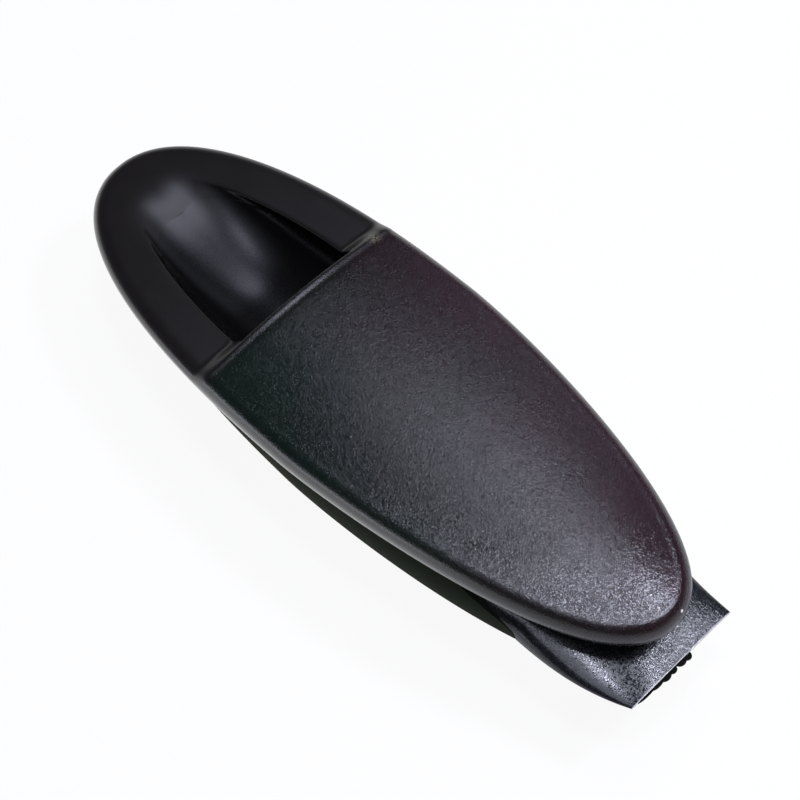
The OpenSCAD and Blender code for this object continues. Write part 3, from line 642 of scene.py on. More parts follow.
class HANDLE_OT_pocket(bpy.types.Operator):
    """Builds the finger pocket's liner, flush with the grip's wall"""

    bl_idname = "handle.pocket"
    bl_label = "Finger pocket"

    def execute(self, context):
        g = sizes("handle_grip")
        mouth, wall_x = grip_grids()[-2:]
        first = int(np.argmax(pocket_deep(wall_x) > g.wall)) - 1
        last = int(np.argmax(wall_x > g.lip + 1e-9))
        front_x = wall_x[first:last]
        back = oval(np.linspace(math.pi / 2, 0, 30)[1:], g.lip, g.lip - g.pocket_start,
                    g.pocket_end - g.lip, g.pocket_half, POCKET_SHAPE, POCKET_BACK_SHAPE)[0]
        x = np.concatenate([front_x, back])
        turn = seam_turn(x)
        rows = [pocket_point(x, mix(turn, math.pi / 2, k / FLOOR_ROWS))
                for k in range(FLOOR_ROWS + 1)]
        inner = bowled(np.stack(rows, axis=1), bowl_field())
        inner[:len(front_x), 0] = mouth[first:last, -1]
        covered = x > g.lip + 1e-9
        share_in = 1 - inner[:, 0, 1] / g.wide * 2
        inner[covered, 0, 2] = (grip_top(x, share_in) - g.wall + 0.0003)[covered]
        outer_x = np.where(covered, g.lip + (x - g.lip) * (1 + g.liner / (g.pocket_end - g.lip)),
                           g.lip + (x - g.lip) * (1 + g.liner / (g.lip - g.pocket_start)))
        rows = [pocket_point(outer_x, mix(turn, math.pi / 2, k / 12), g.liner) for k in range(13)]
        outer = np.stack(rows, axis=1)
        outer[:, 0, 2] = inner[:, 0, 2]
        shape = Shape()
        for side in (1, -1):
            shape.sheet(mirrored(inner, side), zone=-pocket_finish(inner))
            shape.sheet(mirrored(outer, side), zone=-1.0)
            top = [mirrored(inner, side)[:, 0], mirrored(outer, side)[:, 0]]
            shape.sheet(np.stack(top), zone=-1.0)
        shape.piece("pocket_moulding", "grip", "grip_plastic", ["pocket_liner"], sharp=60)
        return {"FINISHED"}


# ---------- base and neck ----------
# Stations of the screw posts, and how far in they stand from the wall or the neck's side.
BASE_POSTS = (0.033, 0.106)
BASE_POST_IN = 0.0088
NECK_POST = 0.173
NECK_POST_IN = 0.0074
POST_HOLE = 0.0016
POST_OUT = 0.0031


def base_out(x):
    """How far the base's wall stands outside the edge's centre line at the door face."""
    return sizes("handle_grip").roll - (0.00178 - 0.0364 * (x - 0.110))


def base_top(x):
    g, b = sizes("handle_grip"), sizes("handle_base")
    return np.maximum(b.plate + b.flange + 0.0004, edge_z(x) - g.roll * ROLL_FOOT - b.gap)


def base_posts():
    """Stations of the base's four screw posts."""
    places = []
    for x in BASE_POSTS:
        half = grip_oval(np.array([grip_angle(x)]))[1][0] + base_out(x) - BASE_POST_IN
        places += [(x, -half), (x, half)]
    return places


def neck_posts():
    half = sizes("handle_base").neck_half - NECK_POST_IN
    return [(NECK_POST, -half), (NECK_POST, half)]


def add_posts(shape, places, high):
    """Hollow screw posts of this height that stand on the bracket's plate."""
    for x, y in places:
        shape.turned((x, y, sizes("handle_base").plate), (0, 0, 1),
                     [(POST_HOLE, 0), (POST_OUT, 0), (POST_OUT, high), (POST_HOLE, high)])


def seam_x(z):
    """Station of the seam between base and neck at a height: it leans back more and more."""
    b = sizes("handle_base")
    return max(b.seam + 0.0009 - 0.01 * b.lean * (max(z, 0.0) / 0.01) ** 2.3, b.seam - 0.0160)


def base_line(step, share_up, low=None):
    """A line round the base at a share of its wall's height, ending at the seam's slant."""
    g, b = sizes("handle_grip"), sizes("handle_base")

    def point(angle):
        x, y, nx, ny = grip_oval(np.atleast_1d(angle))
        top = base_top(x)
        out = mix(base_out(x), np.minimum(base_out(x), g.roll / 3) - 0.0004, share_up ** 2.6) - step
        z = top * share_up if low is None else np.full_like(x, low)
        return np.stack([x + nx * out, y + ny * out, z], axis=-1)

    end = grip_angle(b.seam)
    for _ in range(12):
        p = point(end)[0]
        end += (p[0] - (seam_x(p[2]) - 0.0001)) / 0.10
    return point(np.linspace(end, 2 * math.pi - end, 280))


class HANDLE_OT_base(bpy.types.Operator):
    """Builds the base's wall, flange and screw posts"""

    bl_idname = "handle.base"
    bl_label = "Base"

    def execute(self, context):
        b = sizes("handle_base")
        flange_top = b.plate + b.flange
        ring = [*(base_line(0, k / 12 * 0.97) for k in range(13)),
                base_line(0.0003, 1), base_line(b.wall - 0.0002, 1), base_line(b.wall, 0.97),
                base_line(b.wall, 0, flange_top), base_line(b.wall + b.flange_width, 0, flange_top),
                base_line(b.wall + b.flange_width, 0, b.plate), base_line(b.wall, 0, b.plate),
                base_line(b.wall, 0, 0)]
        shape = Shape()
        shape.sheet(np.stack(ring), closed=True)
        for end in (0, -1):
            shape.polygon([line[end] for line in ring])
        add_posts(shape, base_posts(), b.flange + 0.0016)
        shape.piece("base_moulding", "base", "base_plastic", ["base_cover"])
        return {"FINISHED"}


def neck_side(x, side):
    """Half width of the neck at a station: the -Y side flares, and the +Y side runs straighter."""
    b = sizes("handle_base")
    f = np.clip((x - b.seam) / (b.neck_end - b.seam), 0, 1)
    flared = mix(b.neck_half, b.neck_end_half, f ** NECK_FLARE[0])
    straight = mix(b.neck_end_half, b.neck_half, (1 - f) ** NECK_FLARE[1])
    under_grip = b.neck_half + (b.seam - x) * 0.26
    return np.where(x < b.seam, under_grip, np.where(side < 0, flared, straight))


def neck_share(x):
    b = sizes("handle_base")
    start = b.seam - 0.012
    return np.clip((x - start) / (b.neck_end - start), 0, 1)


def neck_powers(x):
    """How boxy the arch is: square where it meets the base, and rounder to its end."""
    rounder = ease((x - 0.170) / 0.024)
    return mix(0.6, 0.90, rounder), mix(0.55, 0.85, rounder)


def neck_point(x, angle, inside):
    """A point of the neck's arch, on its outer face or its inner one."""
    b = sizes("handle_base")
    f = neck_share(x)
    wall = mix(b.neck_wall, b.neck_end_wall, f) if inside else 0.0
    height = mix(b.neck_height, b.neck_end_height, 1 - (1 - f) ** 0.85) - wall
    c, s = np.cos(angle), np.clip(np.sin(angle), 0, 1)
    half = neck_side(x, c) - wall * NECK_WALL_SLOPE
    aside, up = neck_powers(x)
    y = np.sign(c) * half * np.abs(c) ** aside
    return np.stack(np.broadcast_arrays(x, y, height * s ** up), axis=-1)


NECK_HOLE_HALF = 0.0136
NECK_HOLE_END = 0.187


def neck_hole_angle(x, side):
    """The arch's angle at the edge of the opening for the hinge."""
    return np.arccos((NECK_HOLE_HALF / neck_side(x, side)) ** (1 / neck_powers(x)[0]))


# Pale paint across the cut face: its outer and inner edges carry a painted highlight, together with
# the whitening of the cut plastic.
CUT_HIGHLIGHT_AND_WEAR = np.array([[1.0], [0.1], [0.1], [1.0]])
NECK_FRONT_STEPS = 30
NECK_TOP_STEPS = 24


def cut_columns():
    """Stations from the opening to the neck's cut end, the last two close together."""
    end = sizes("handle_base").neck_end
    return np.append(np.linspace(NECK_HOLE_END, end - 0.0003, 25), end)


def cut_face(outer, inner):
    """The neck's end face between its outer and inner edges."""
    return [mix(outer, inner, t) for t in (0, 0.3, 0.7, 1)]


def at_cut(grid):
    """1 on the neck's cut edge, which is painted pale: a painted highlight, with the whitening of
    cut plastic; 0 elsewhere.
    """
    return (grid[..., 0] > sizes("handle_base").neck_end - 0.00001) * 1.0


def neck_grain(grid):
    """Full grain on the neck's crest and far side, and hardly any on its near flank."""
    return ease((grid[..., 1] + 0.011) / 0.005)


class HANDLE_OT_neck(bpy.types.Operator):
    """Builds the neck's thin arch, its opening for the hinge and its screw posts"""

    bl_idname = "handle.neck"
    bl_label = "Neck"

    def execute(self, context):
        seam = sizes("handle_base").seam
        shape = Shape()
        for side in (1, -1):
            sheets = []
            for inside in (False, True):
                lines = []
                for v in np.linspace(0, 1, 25):
                    def point(x):
                        angle = v * neck_hole_angle(x, side)
                        return neck_point(x, angle if side > 0 else math.pi - angle, inside)
                    start = seam
                    for _ in range(40):
                        start = mix(start, seam_x(float(point(np.array(start))[2])) + 0.0001, 0.5)
                    front = np.linspace(start, NECK_HOLE_END, NECK_FRONT_STEPS)
                    lines.append(point(np.concatenate([front, cut_columns()[1:]])))
                sheets.append(np.stack(lines))
            outer, inner = sheets
            # The cut edge is painted pale: a painted highlight, with the whitening of cut plastic.
            shape.wall(outer, inner, "start first", zone=neck_grain(outer), polish_and_cut_highlight=at_cut(outer))
            shape.sheet(cut_face(outer[:, -1], inner[:, -1]), polish_and_cut_highlight=CUT_HIGHLIGHT_AND_WEAR)
            shape.sheet([outer[-1, :NECK_FRONT_STEPS], inner[-1, :NECK_FRONT_STEPS]])
        sheets = []
        for inside in (False, True):
            lines = []
            for x in cut_columns():
                low, high = neck_hole_angle(x, 1), math.pi - neck_hole_angle(x, -1)
                angles = np.linspace(low, high, NECK_TOP_STEPS + 1)
                lines.append(neck_point(np.full(len(angles), x), angles, inside))
            sheets.append(np.stack(lines))
        outer, inner = sheets
        # The cut edge is painted pale: a painted highlight, with the whitening of cut plastic.
        shape.wall(outer, inner, "start", zone=neck_grain(outer), polish_and_cut_highlight=at_cut(outer))
        shape.sheet(cut_face(outer[-1], inner[-1]), polish_and_cut_highlight=CUT_HIGHLIGHT_AND_WEAR)
        add_posts(shape, neck_posts(), 0.0034)
        shape.piece("neck_moulding", "base", "neck_plastic", ["neck_cover"])
        return {"FINISHED"}


# Torn lumps of the foam along Y: middle, half width and how far each stands out of the neck.
FOAM_LUMPS = ((0.0017, 0.0013, 0.0013), (-0.0004, 0.0016, 0.0012), (-0.0035, 0.0013, 0.0011),
              (-0.0060, 0.0017, 0.0012), (-0.0090, 0.0022, 0.0008), (-0.0128, 0.0030, 0.0005))


def foam_lump(y):
    """How far the foam's lumps stand out of the neck here."""
    return max(out * math.sqrt(max(0.0, 1 - ((y - middle) / half) ** 2))
               for middle, half, out in FOAM_LUMPS)


class HANDLE_OT_foam(bpy.types.Operator):
    """Builds the torn strip of foam in the neck's open end"""

    bl_idname = "handle.foam"
    bl_label = "Foam"

    def execute(self, context):
        b = sizes("handle_base")
        shape = Shape()
        roof = b.neck_end_height - b.neck_end_wall - 0.0001
        top, bottom = [], []
        for y in np.linspace(-0.0160, 0.0030, 110):
            ragged = 0.0002 + 0.0002 * noise.noise((y * 500, 0.3, 2.0))
            reach = b.neck_end + max(foam_lump(y), ragged)
            high = roof * (0.75 + 0.25 * noise.noise((y * 600, 4.0, 1.0)))
            back = b.neck_end - 0.010
            upper, lower = [], []
            for f in np.linspace(0, 1, 30):
                x = mix(back, reach, f)
                fade = math.sqrt(max(0.0, 1 - f ** 8))
                uneven = 0.9 + 0.2 * noise.noise((x * 700, y * 700, 3.0))
                upper.append((x, y, max(0.00005, min(roof, high * uneven) * fade)))
                lower.append((x, y, 0.0))
            top.append(upper)
            bottom.append(lower)
        shape.wall(np.array(top), np.array(bottom))
        shape.piece("neck_foam_torn", "base", "foam", ["neck_foam"], sharp=60)
        return {"FINISHED"}


# ---------- springs, screws and studs ----------
# Stations of the fixing studs and of the screws that hold the carrier under the paddle.
STUDS = (0.024, 0.164)
CARRIER_SCREWS = [(x, y) for x in (0.112, 0.158) for y in (-0.013, 0.013)]


def wire(name, path, radius, stands_for):
    """A round wire along a path, wound between its two bodies but attached to neither."""
    sides = 12
    path = [Vector(p) for p in path]
    normal = Vector((0.3, 1, 0.1))
    lines = []
    for i, p in enumerate(path):
        along = (path[min(i + 1, len(path) - 1)] - path[max(i - 1, 0)]).normalized()
        normal = (normal - along * normal.dot(along)).normalized()
        other = along.cross(normal)
        lines.append([tuple(p + radius * (normal * math.cos(a) + other * math.sin(a)))
                      for a in (2 * math.pi * k / sides for k in range(sides + 1))])
    shape = Shape()
    shape.sheet(lines)
    for p, line in ((path[0], lines[0]), (path[-1], lines[-1])):
        shape.sheet([[tuple(p)] * len(line), line])
    obj = shape.piece(name, None, "spring_steel", [stands_for])
    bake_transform(obj)


def coil(x, z, radius, first, last, y0, y1, steps):
    return [(x + radius * math.cos(mix(first, last, i / steps)), mix(y0, y1, i / steps),
             z + radius * math.sin(mix(first, last, i / steps))) for i in range(steps + 1)]


def eased_corners(path, cut):
    """A path with each inner corner cut by two points, so that a bent wire has a bend radius."""
    path = [Vector(p) for p in path]
    out = [path[0]]
    for a, b, c in zip(path, path[1:], path[2:]):
        for t in (0.0, 0.25, 0.5, 0.75, 1.0):
            before = b + (a - b) * min(0.5, cut / (a - b).length)
            after = b + (c - b) * min(0.5, cut / (c - b).length)
            out.append(before.lerp(b, t).lerp(b.lerp(after, t), t))
    return out + [path[-1]]


class HANDLE_OT_springs(bpy.types.Operator):
    """Winds the grip's spring and the crank's spring"""

    bl_idname = "handle.springs"
    bl_label = "Springs"

    def execute(self, context):
        h = sizes("handle_hardware")
        bar_x, bar_top, r = 0.172, 0.0065, h.grip_wire
        turns = coil(h.hinge, h.hinge_z, h.grip_coil, math.radians(90), math.radians(90 - 1850),
                     -0.005, 0.0046, 260)
        leg = eased_corners([turns[-1], (bar_x + 0.0056, 0.0048, bar_top + 0.0015),
                             (bar_x + 0.0042, 0.0049, bar_top + r + 0.0007),
                             (bar_x - 0.001, 0.005, bar_top + r + 0.0001)], 0.0006)
        path = [(h.hinge - 0.014, -0.005, -r - 0.0001)] + turns + leg[1:]
        wire("grip_spring_wound", path, r, "grip_spring")
        r, top = h.crank_wire, h.crank_z + h.crank_coil
        turns = coil(h.crank, h.crank_z, h.crank_coil, math.radians(90), math.radians(90 - 1440),
                     0.0076, 0.0036, 220)
        leg = eased_corners([turns[-1], (h.crank + 0.009, 0.0033, top - 0.001),
                             (h.crank + 0.011, 0.0024, top - 0.0019),
                             (h.crank + 0.0116, -0.0018, top - 0.0028)], 0.0008)
        path = [(h.crank - 0.015, 0.0076, -r - 0.0001)] + turns + leg[1:]
        wire("crank_spring_wound", path, r, "crank_spring")
        return {"FINISHED"}


def lobed(radius):
    """A six-lobed driver recess of about this radius."""
    return lambda a: radius * (1 + 0.13 * math.cos(6 * a))


def thread(shape, x, y, radius, low, high, pitch, depth):
    """A helical thread on a stud or a screw along Z."""
    count, rows = 24, max(8, int((high - low) / pitch * 8))
    lines = []
    for k in range(count):
        a = 2 * math.pi * k / count
        line = []
        for j in range(rows + 1):
            z = mix(low, high, j / rows)
            f = (z / pitch - k / count) % 1.0
            groove = depth * abs(2 * f - 1)
            fade = min(1, (z - low) / pitch, (high - z) / pitch)
            r = radius - groove * max(0, fade) - depth * (1 - max(0, min(1, (z - low) / pitch)))
            line.append((x + r * math.cos(a), y + r * math.sin(a), z))
        lines.append(line)
    shape.sheet(lines, closed=True)


def pan_screws(name, body, places, head_z, head, shank, stands_for):
    """Pan-headed screws that point up, each with a lobed recess and a threaded shank."""
    shape = Shape()
    wide = 0.0026
    for x, y in places:
        shape.turned((x, y, head_z), (0, 0, 1), [
            (0, -head * 0.25), (lobed(0.0010), -head * 0.25), (lobed(0.0011), -head * 0.98),
            (0.0015, -head), (wide * 0.72, -head), (wide * 0.9, -head * 0.85), (wide, -head * 0.5),
            (wide, -0.0001), (wide - 0.0001, 0), (0.00120, 0)], count=36)
        thread(shape, x, y, 0.00125, head_z, head_z + shank, 0.0008, 0.00022)
    shape.piece(name, body, "plated_steel", [stands_for])


class HANDLE_OT_fasteners(bpy.types.Operator):
    """Cuts the screws' recesses and threads, and the studs' threads"""

    bl_idname = "handle.fasteners"
    bl_label = "Screws and studs"

    def execute(self, context):
        b, h = sizes("handle_base"), sizes("handle_hardware")
        for name, body, places, head_z, head, shank in (
                ("base_screws", "base", base_posts(), 0.0012, 0.0011, b.plate + b.flange),
                ("neck_screws", "base", neck_posts(), 0.0012, 0.0011, b.plate + 0.001),
                ("carrier_screws", "grip", CARRIER_SCREWS, 0.0095, 0.0016, 0.0055)):
            pan_screws(name + "_driven", body, places, head_z, head, shank, name)
        shape = Shape()
        head_top, root, end = b.plate + 0.0014, h.stud - 0.0004, 0.001 - h.stud_length
        for x in STUDS:
            shape.turned((x, 0, 0), (0, 0, 1), [
                (0, head_top), (lobed(0.0014), head_top), (0.0050, head_top),
                (0.0054, b.plate + 0.001), (0.0054, b.plate), (0.0038, b.plate), (0.0038, 0),
                (h.stud, 0), (root, -0.001)], count=40)
            thread(shape, x, 0, h.stud, end, -0.001, h.pitch, 0.0004)
            shape.turned((x, 0, 0), (0, 0, 1), [
                (root, end), (0.002, -h.stud_length), (0, -h.stud_length)], count=24)
        shape.piece("studs_threaded", "base", "yellow_zinc", ["mounting_studs"])
        return {"FINISHED"}


# ---------- finishes ----------
def new_group(name, inputs, outputs):
    """A shader node group with named sockets; inputs give their defaults."""
    group = bpy.data.node_groups.new(name, "ShaderNodeTree")
    kinds = {float: "NodeSocketFloat", tuple: "NodeSocketColor"}
    for label, value in inputs.items():
        kind = kinds[type(value)]
        socket = group.interface.new_socket(name=label, in_out="INPUT", socket_type=kind)
        socket.default_value = value
    for label, kind in outputs.items():
        group.interface.new_socket(name=label, in_out="OUTPUT", socket_type=kinds[kind])
    return group, group.nodes.new("NodeGroupInput"), group.nodes.new("NodeGroupOutput")


def add(tree, kind, links=None, **values):
    """Adds a node; values set its properties, and links its inputs, by name or number."""
    node = tree.nodes.new(kind)
    for name, value in values.items():
        setattr(node, name, value)
    for socket, source in (links or {}).items():
        target = node.inputs[socket]
        if isinstance(source, bpy.types.NodeSocket):
            tree.links.new(source, target)
        else:
            target.default_value = source
    return node


def math_node(tree, operation, a, b=0.0, clamp=False):
    node = add(tree, "ShaderNodeMath", {0: a, 1: b}, operation=operation, use_clamp=clamp)
    return node.outputs[0]


def above(tree, value, start, gain):
    """0 below a start, and rising by the gain to 1."""
    over = math_node(tree, "SUBTRACT", value, start)
    return math_node(tree, "MULTIPLY", over, gain, clamp=True)


def between(tree, factor, low, high):
    return math_node(tree, "ADD", math_node(tree, "MULTIPLY", factor, high - low), low)


def clouds(tree, place, scale, detail):
    """Soft noise at places on the object."""
    return add(tree, "ShaderNodeTexNoise",
               {"Vector": place, "Scale": scale, "Detail": detail}).outputs[0]


def blend_colours(tree, factor, a, b):
    node = tree.nodes.new("ShaderNodeMix")
    node.data_type = "RGBA"
    for socket, source in ((0, factor), (6, a), (7, b)):
        if isinstance(source, bpy.types.NodeSocket):
            tree.links.new(source, node.inputs[socket])
        else:
            node.inputs[socket].default_value = source
    return node.outputs[2]


def places_on_object(tree):
    return add(tree, "ShaderNodeTexCoord").outputs["Object"]


def group_grain():
    """Pebble grain: the height of soft pebbles on gentle waves, and each pebble's sparkle."""
    group, inputs, outputs = new_group("pebble grain", {"Size": 0.0006, "Waves": 0.8},
                                       {"Height": float, "Sparkle": float})
    place = places_on_object(group)
    scale = math_node(group, "DIVIDE", 1.0, inputs.outputs["Size"])
    pebbles = add(group, "ShaderNodeTexVoronoi",
                  {"Vector": place, "Scale": scale, "Randomness": 1.0})
    domes = math_node(group, "POWER", pebbles.outputs["Distance"], 2.0)
    domes = math_node(group, "MULTIPLY", domes, -0.15)
    waves = math_node(group, "MULTIPLY", clouds(group, place, scale, 1.0), inputs.outputs["Waves"])
    group.links.new(math_node(group, "ADD", domes, waves), outputs.inputs["Height"])
    shade = add(group, "ShaderNodeSeparateColor", {0: pebbles.outputs["Color"]}).outputs[0]
    group.links.new(shade, outputs.inputs["Sparkle"])
    return group


def group_tint():
    """A slow drift between two colours along the handle, broken by soft clouds."""
    group, inputs, outputs = new_group(
        "drifting tint", {"First": (0.02, 0.02, 0.02, 1.0), "Second": (0.03, 0.03, 0.03, 1.0)},
        {"Color": tuple})
    place = places_on_object(group)
    along = add(group, "ShaderNodeSeparateXYZ", {0: place})
    drift = math_node(group, "ADD", math_node(group, "MULTIPLY", along.outputs[0], 4.2),
                      math_node(group, "MULTIPLY", along.outputs[1], 14.0))
    patches = math_node(group, "MULTIPLY", clouds(group, place, 45.0, 3.0), 0.7)
    drift = math_node(group, "ADD", drift, patches, clamp=True)
    group.links.new(blend_colours(group, drift, inputs.outputs["First"], inputs.outputs["Second"]),
                    outputs.inputs["Color"])
    return group


def group_wear():
    """Rubbed edges: 1 where the surface turns sharply outwards, broken by scratches."""
    group, inputs, outputs = new_group(
        "edge wear", {"Start": 0.53, "Scale": 900.0}, {"Mask": float})
    bend = add(group, "ShaderNodeNewGeometry").outputs["Pointiness"]
    scratches = clouds(group, places_on_object(group), inputs.outputs["Scale"], 3.0)
    edge = above(group, bend, inputs.outputs["Start"], 18.0)
    broken = above(group, scratches, 0.35, 3.0)
    group.links.new(math_node(group, "MULTIPLY", edge, broken), outputs.inputs["Mask"])
    return group


def group_dust():
    """Fine settled dust: patchy on faces that look up, and none underneath."""
    group, inputs, outputs = new_group(
        "settled dust", {"Amount": 0.3, "Patch": 120.0}, {"Mask": float})
    place = places_on_object(group)
    facing = add(group, "ShaderNodeNewGeometry").outputs["Normal"]
    up = add(group, "ShaderNodeSeparateXYZ", {0: facing}).outputs[2]
    broken = above(group, clouds(group, place, inputs.outputs["Patch"], 4.0), 0.42, 2.6)
    fine = above(group, clouds(group, place, 5200.0, 1.0), 0.45, 3.5)
    mask = math_node(group, "MULTIPLY", math_node(group, "MULTIPLY", broken, fine), up, clamp=True)
    mask = math_node(group, "MULTIPLY", mask, inputs.outputs["Amount"])
    group.links.new(mask, outputs.inputs["Mask"])
    return group


def group_machined():
    """Fine tool marks round or along a part: a height and a shade that vary across them."""
    group, inputs, outputs = new_group(
        "machined", {"Scale": 2500.0}, {"Height": float, "Shade": float})
    place = places_on_object(group)
    stretched = add(group, "ShaderNodeMapping", {"Vector": place, "Scale": (0.15, 1.0, 0.15)})
    marks = clouds(group, stretched.outputs[0], inputs.outputs["Scale"], 2.0)
    group.links.new(marks, outputs.inputs["Height"])
    group.links.new(clouds(group, place, 160.0, 3.0), outputs.inputs["Shade"])
    return group


def effect(tree, name, **values):
    """Places one of the shared effects in a material, with its own values."""
    groups = {"pebble grain": group_grain, "drifting tint": group_tint, "edge wear": group_wear,
              "settled dust": group_dust, "machined": group_machined}
    group = bpy.data.node_groups.get(name) or groups[name]()
    node = tree.nodes.new("ShaderNodeGroup")
    node.node_tree = group
    for label, value in values.items():
        socket = node.inputs[label.replace("_", " ")]
        if isinstance(value, bpy.types.NodeSocket):
            tree.links.new(value, socket)
        else:
            socket.default_value = value
    return node.outputs


def shaded(name, **values):
    """A new material with its Principled shader; values set the shader's own sockets."""
    material = bpy.data.materials.new("handle_" + name)
    material.use_nodes = True
    tree = material.node_tree
    tree.nodes.clear()
    shader = tree.nodes.new("ShaderNodeBsdfPrincipled")
    tree.links.new(shader.outputs[0], tree.nodes.new("ShaderNodeOutputMaterial").inputs[0])
    for label, value in values.items():
        shader.inputs[label.replace("_", " ")].default_value = value
    return material, tree, shader


def bump(tree, shader, height, distance, strength=1.0):
    node = add(tree, "ShaderNodeBump",
               {"Height": height, "Strength": strength, "Distance": distance})
    tree.links.new(node.outputs[0], shader.inputs["Normal"])


def solid(values):
    return (*values, 1.0)


# Shares that the rim keeps of the paddle's sparkle and grain, and the neck's flank of its grain.
RIM_SPARKLE = 0.08
RIM_GRAIN = 0.18
FLANK_GRAIN = 0.15
# What the pocket's finish takes off the grain and the roughness, and how metallic it counts.
POCKET_GRAIN_LOST = 0.12
POCKET_ROUGHNESS_LOST = 0.03
POCKET_METAL = 0.7
# Pale colour of the neck's cut edges: a painted highlight of the thin edges, with the whitening of
# cut plastic.
CUT_HIGHLIGHT_AND_WHITENING = (0.75, 0.73, 0.70, 1)
RUBBED_GREY = (0.07, 0.07, 0.075, 1)


def grained(name, first, second, roughness, depth, sheen_spread, zoned):
    """Grained black plastic; zoned gives the grip's rim and pocket their own smoother finish."""
    c = sizes("handle_finish")
    material, tree, shader = shaded(name, Specular_IOR_Level=0.5, IOR=1.5, Coat_Roughness=0.25)
    grain = effect(tree, "pebble grain", Size=c.grain, Waves=1.0)
    base = effect(tree, "drifting tint", First=solid(first), Second=solid(second))["Color"]
    rough = math_node(tree, "MULTIPLY", grain["Sparkle"], sheen_spread)
    zone = add(tree, "ShaderNodeAttribute", attribute_name="zone").outputs["Fac"]
    # On the grip this attribute gives the rolled edge its coat; on the neck it marks the cut edges'
    # painted highlight.
    coat_and_cut_highlight = add(tree, "ShaderNodeAttribute", attribute_name="polish_and_cut_highlight").outputs["Fac"]
    paddle = math_node(tree, "MAXIMUM", zone, 0.0)
    if zoned:
        rough = math_node(tree, "MULTIPLY", rough, between(tree, paddle, RIM_SPARKLE, 1.0))
        pocket = math_node(tree, "MAXIMUM", math_node(tree, "MULTIPLY", zone, -1.0), 0.0)
        deep = between(tree, paddle, RIM_GRAIN, 1.0)
        deep = math_node(tree, "SUBTRACT", deep,
                         math_node(tree, "MULTIPLY", pocket, POCKET_GRAIN_LOST))
        rough = math_node(tree, "ADD", rough, between(tree, paddle, c.rim_gloss - c.gloss, 0.0))
        rough = math_node(tree, "SUBTRACT", rough,
                          math_node(tree, "MULTIPLY", pocket, POCKET_ROUGHNESS_LOST))
        base = blend_colours(tree, paddle, solid(c.rim), base)
        base = blend_colours(tree, pocket, base, solid(c.pocket))
        # A black base colour that counts as part metal reflects less than the paddle does.
        tree.links.new(math_node(tree, "MULTIPLY", pocket, POCKET_METAL),
                       shader.inputs["Metallic"])
    else:
        deep = between(tree, paddle, FLANK_GRAIN, 1.0)
        # The neck's cut edges are painted pale: a painted highlight, with the whitening of cut
        # plastic.
        base = blend_colours(tree, coat_and_cut_highlight, base, CUT_HIGHLIGHT_AND_WHITENING)
    rough = math_node(tree, "ADD", rough, roughness)
    dust = effect(tree, "settled dust", Amount=0.03)["Mask"]
    wear = effect(tree, "edge wear", Start=0.56)["Mask"]
    base = blend_colours(tree, dust, base, solid(c.dust))
    base = blend_colours(tree, math_node(tree, "MULTIPLY", wear, 0.15), base, RUBBED_GREY)
    if zoned:
        base = lip_marks(tree, base)
        tree.links.new(coat_and_cut_highlight, shader.inputs["Coat Weight"])
    tree.links.new(base, shader.inputs["Base Color"])
    rough = math_node(tree, "ADD", rough, math_node(tree, "MULTIPLY", dust, 0.5), clamp=True)
    tree.links.new(rough, shader.inputs["Roughness"])
    bump(tree, shader, math_node(tree, "MULTIPLY", grain["Height"], deep), depth)
    return material


def lip_marks(tree, base):
    """Brown dust caught at the far end of the lip, and a pale speck on the tip's edge."""
    c = sizes("handle_finish")
    place = places_on_object(tree)
    for name, reach, shade, strength in (("lip_dust", 0.0032, c.dust, 0.75),
                                         ("tip_speck", 0.0005, (0.75, 0.75, 0.72), 0.9)):
        spot = MARKS[name]
        away = add(tree, "ShaderNodeVectorMath", {0: place, 1: spot}, operation="DISTANCE")
        away = math_node(tree, "DIVIDE", away.outputs["Value"], reach)
        near = math_node(tree, "SUBTRACT", 1.0, away, clamp=True)
        if name == "tip_speck":
            torn = 1.0
            near = math_node(tree, "MULTIPLY", near, 3.0, clamp=True)
        else:
            torn = above(tree, clouds(tree, place, 1600.0, 3.0), 0.42, 4.0)
        mask = math_node(tree, "MULTIPLY", math_node(tree, "MULTIPLY", near, torn), strength)
        base = blend_colours(tree, mask, base, solid(shade))
    return base


def plastic(name, base_colour, roughness, grain_size=0.0009, depth=0.00001, dust=0.1,
            spread=0.08, **values):
    """Smooth moulded plastic or rubber with a faint surface and a little dust."""
    c = sizes("handle_finish")
    material, tree, shader = shaded(name, **values)
    grain = effect(tree, "pebble grain", Size=grain_size, Waves=0.5)
    darker = solid(tuple(v * 0.8 for v in base_colour))
    base = effect(tree, "drifting tint", First=solid(base_colour), Second=darker)["Color"]
    dusty = effect(tree, "settled dust", Amount=dust, Patch=200.0)["Mask"]
    wear = effect(tree, "edge wear", Start=0.55)["Mask"]
    base = blend_colours(tree, dusty, base, solid(c.dust))
    lighter = solid(tuple(min(1.0, v * 1.6 + 0.02) for v in base_colour))
    base = blend_colours(tree, math_node(tree, "MULTIPLY", wear, 0.4), base, lighter)
    tree.links.new(base, shader.inputs["Base Color"])
    uneven = math_node(tree, "MULTIPLY", grain["Sparkle"], spread)
    tree.links.new(math_node(tree, "ADD", roughness, uneven), shader.inputs["Roughness"])
    bump(tree, shader, grain["Height"], depth)
    return material


def metal(name, base_colour, roughness, marks=2500.0, stain=0.35):
    """Plated or bright metal with tool marks, a patchy shade and rubbed edges."""
    material, tree, shader = shaded(name, Metallic=1.0)
    tool = effect(tree, "machined", Scale=marks)
    dull = solid(tuple(v * (1 - stain) for v in base_colour))
    base = blend_colours(tree, tool["Shade"], dull, solid(base_colour))
    wear = effect(tree, "edge wear", Start=0.54)["Mask"]
    base = blend_colours(tree, wear, base, solid(tuple(min(1.0, v * 1.25) for v in base_colour)))
    tree.links.new(base, shader.inputs["Base Color"])
    rough = math_node(tree, "ADD", roughness, math_node(tree, "MULTIPLY", tool["Shade"], 0.22))
    tree.links.new(math_node(tree, "SUBTRACT", rough, math_node(tree, "MULTIPLY", wear, 0.12)),
                   shader.inputs["Roughness"])
    bump(tree, shader, tool["Height"], 0.00001, 0.6)
    return material


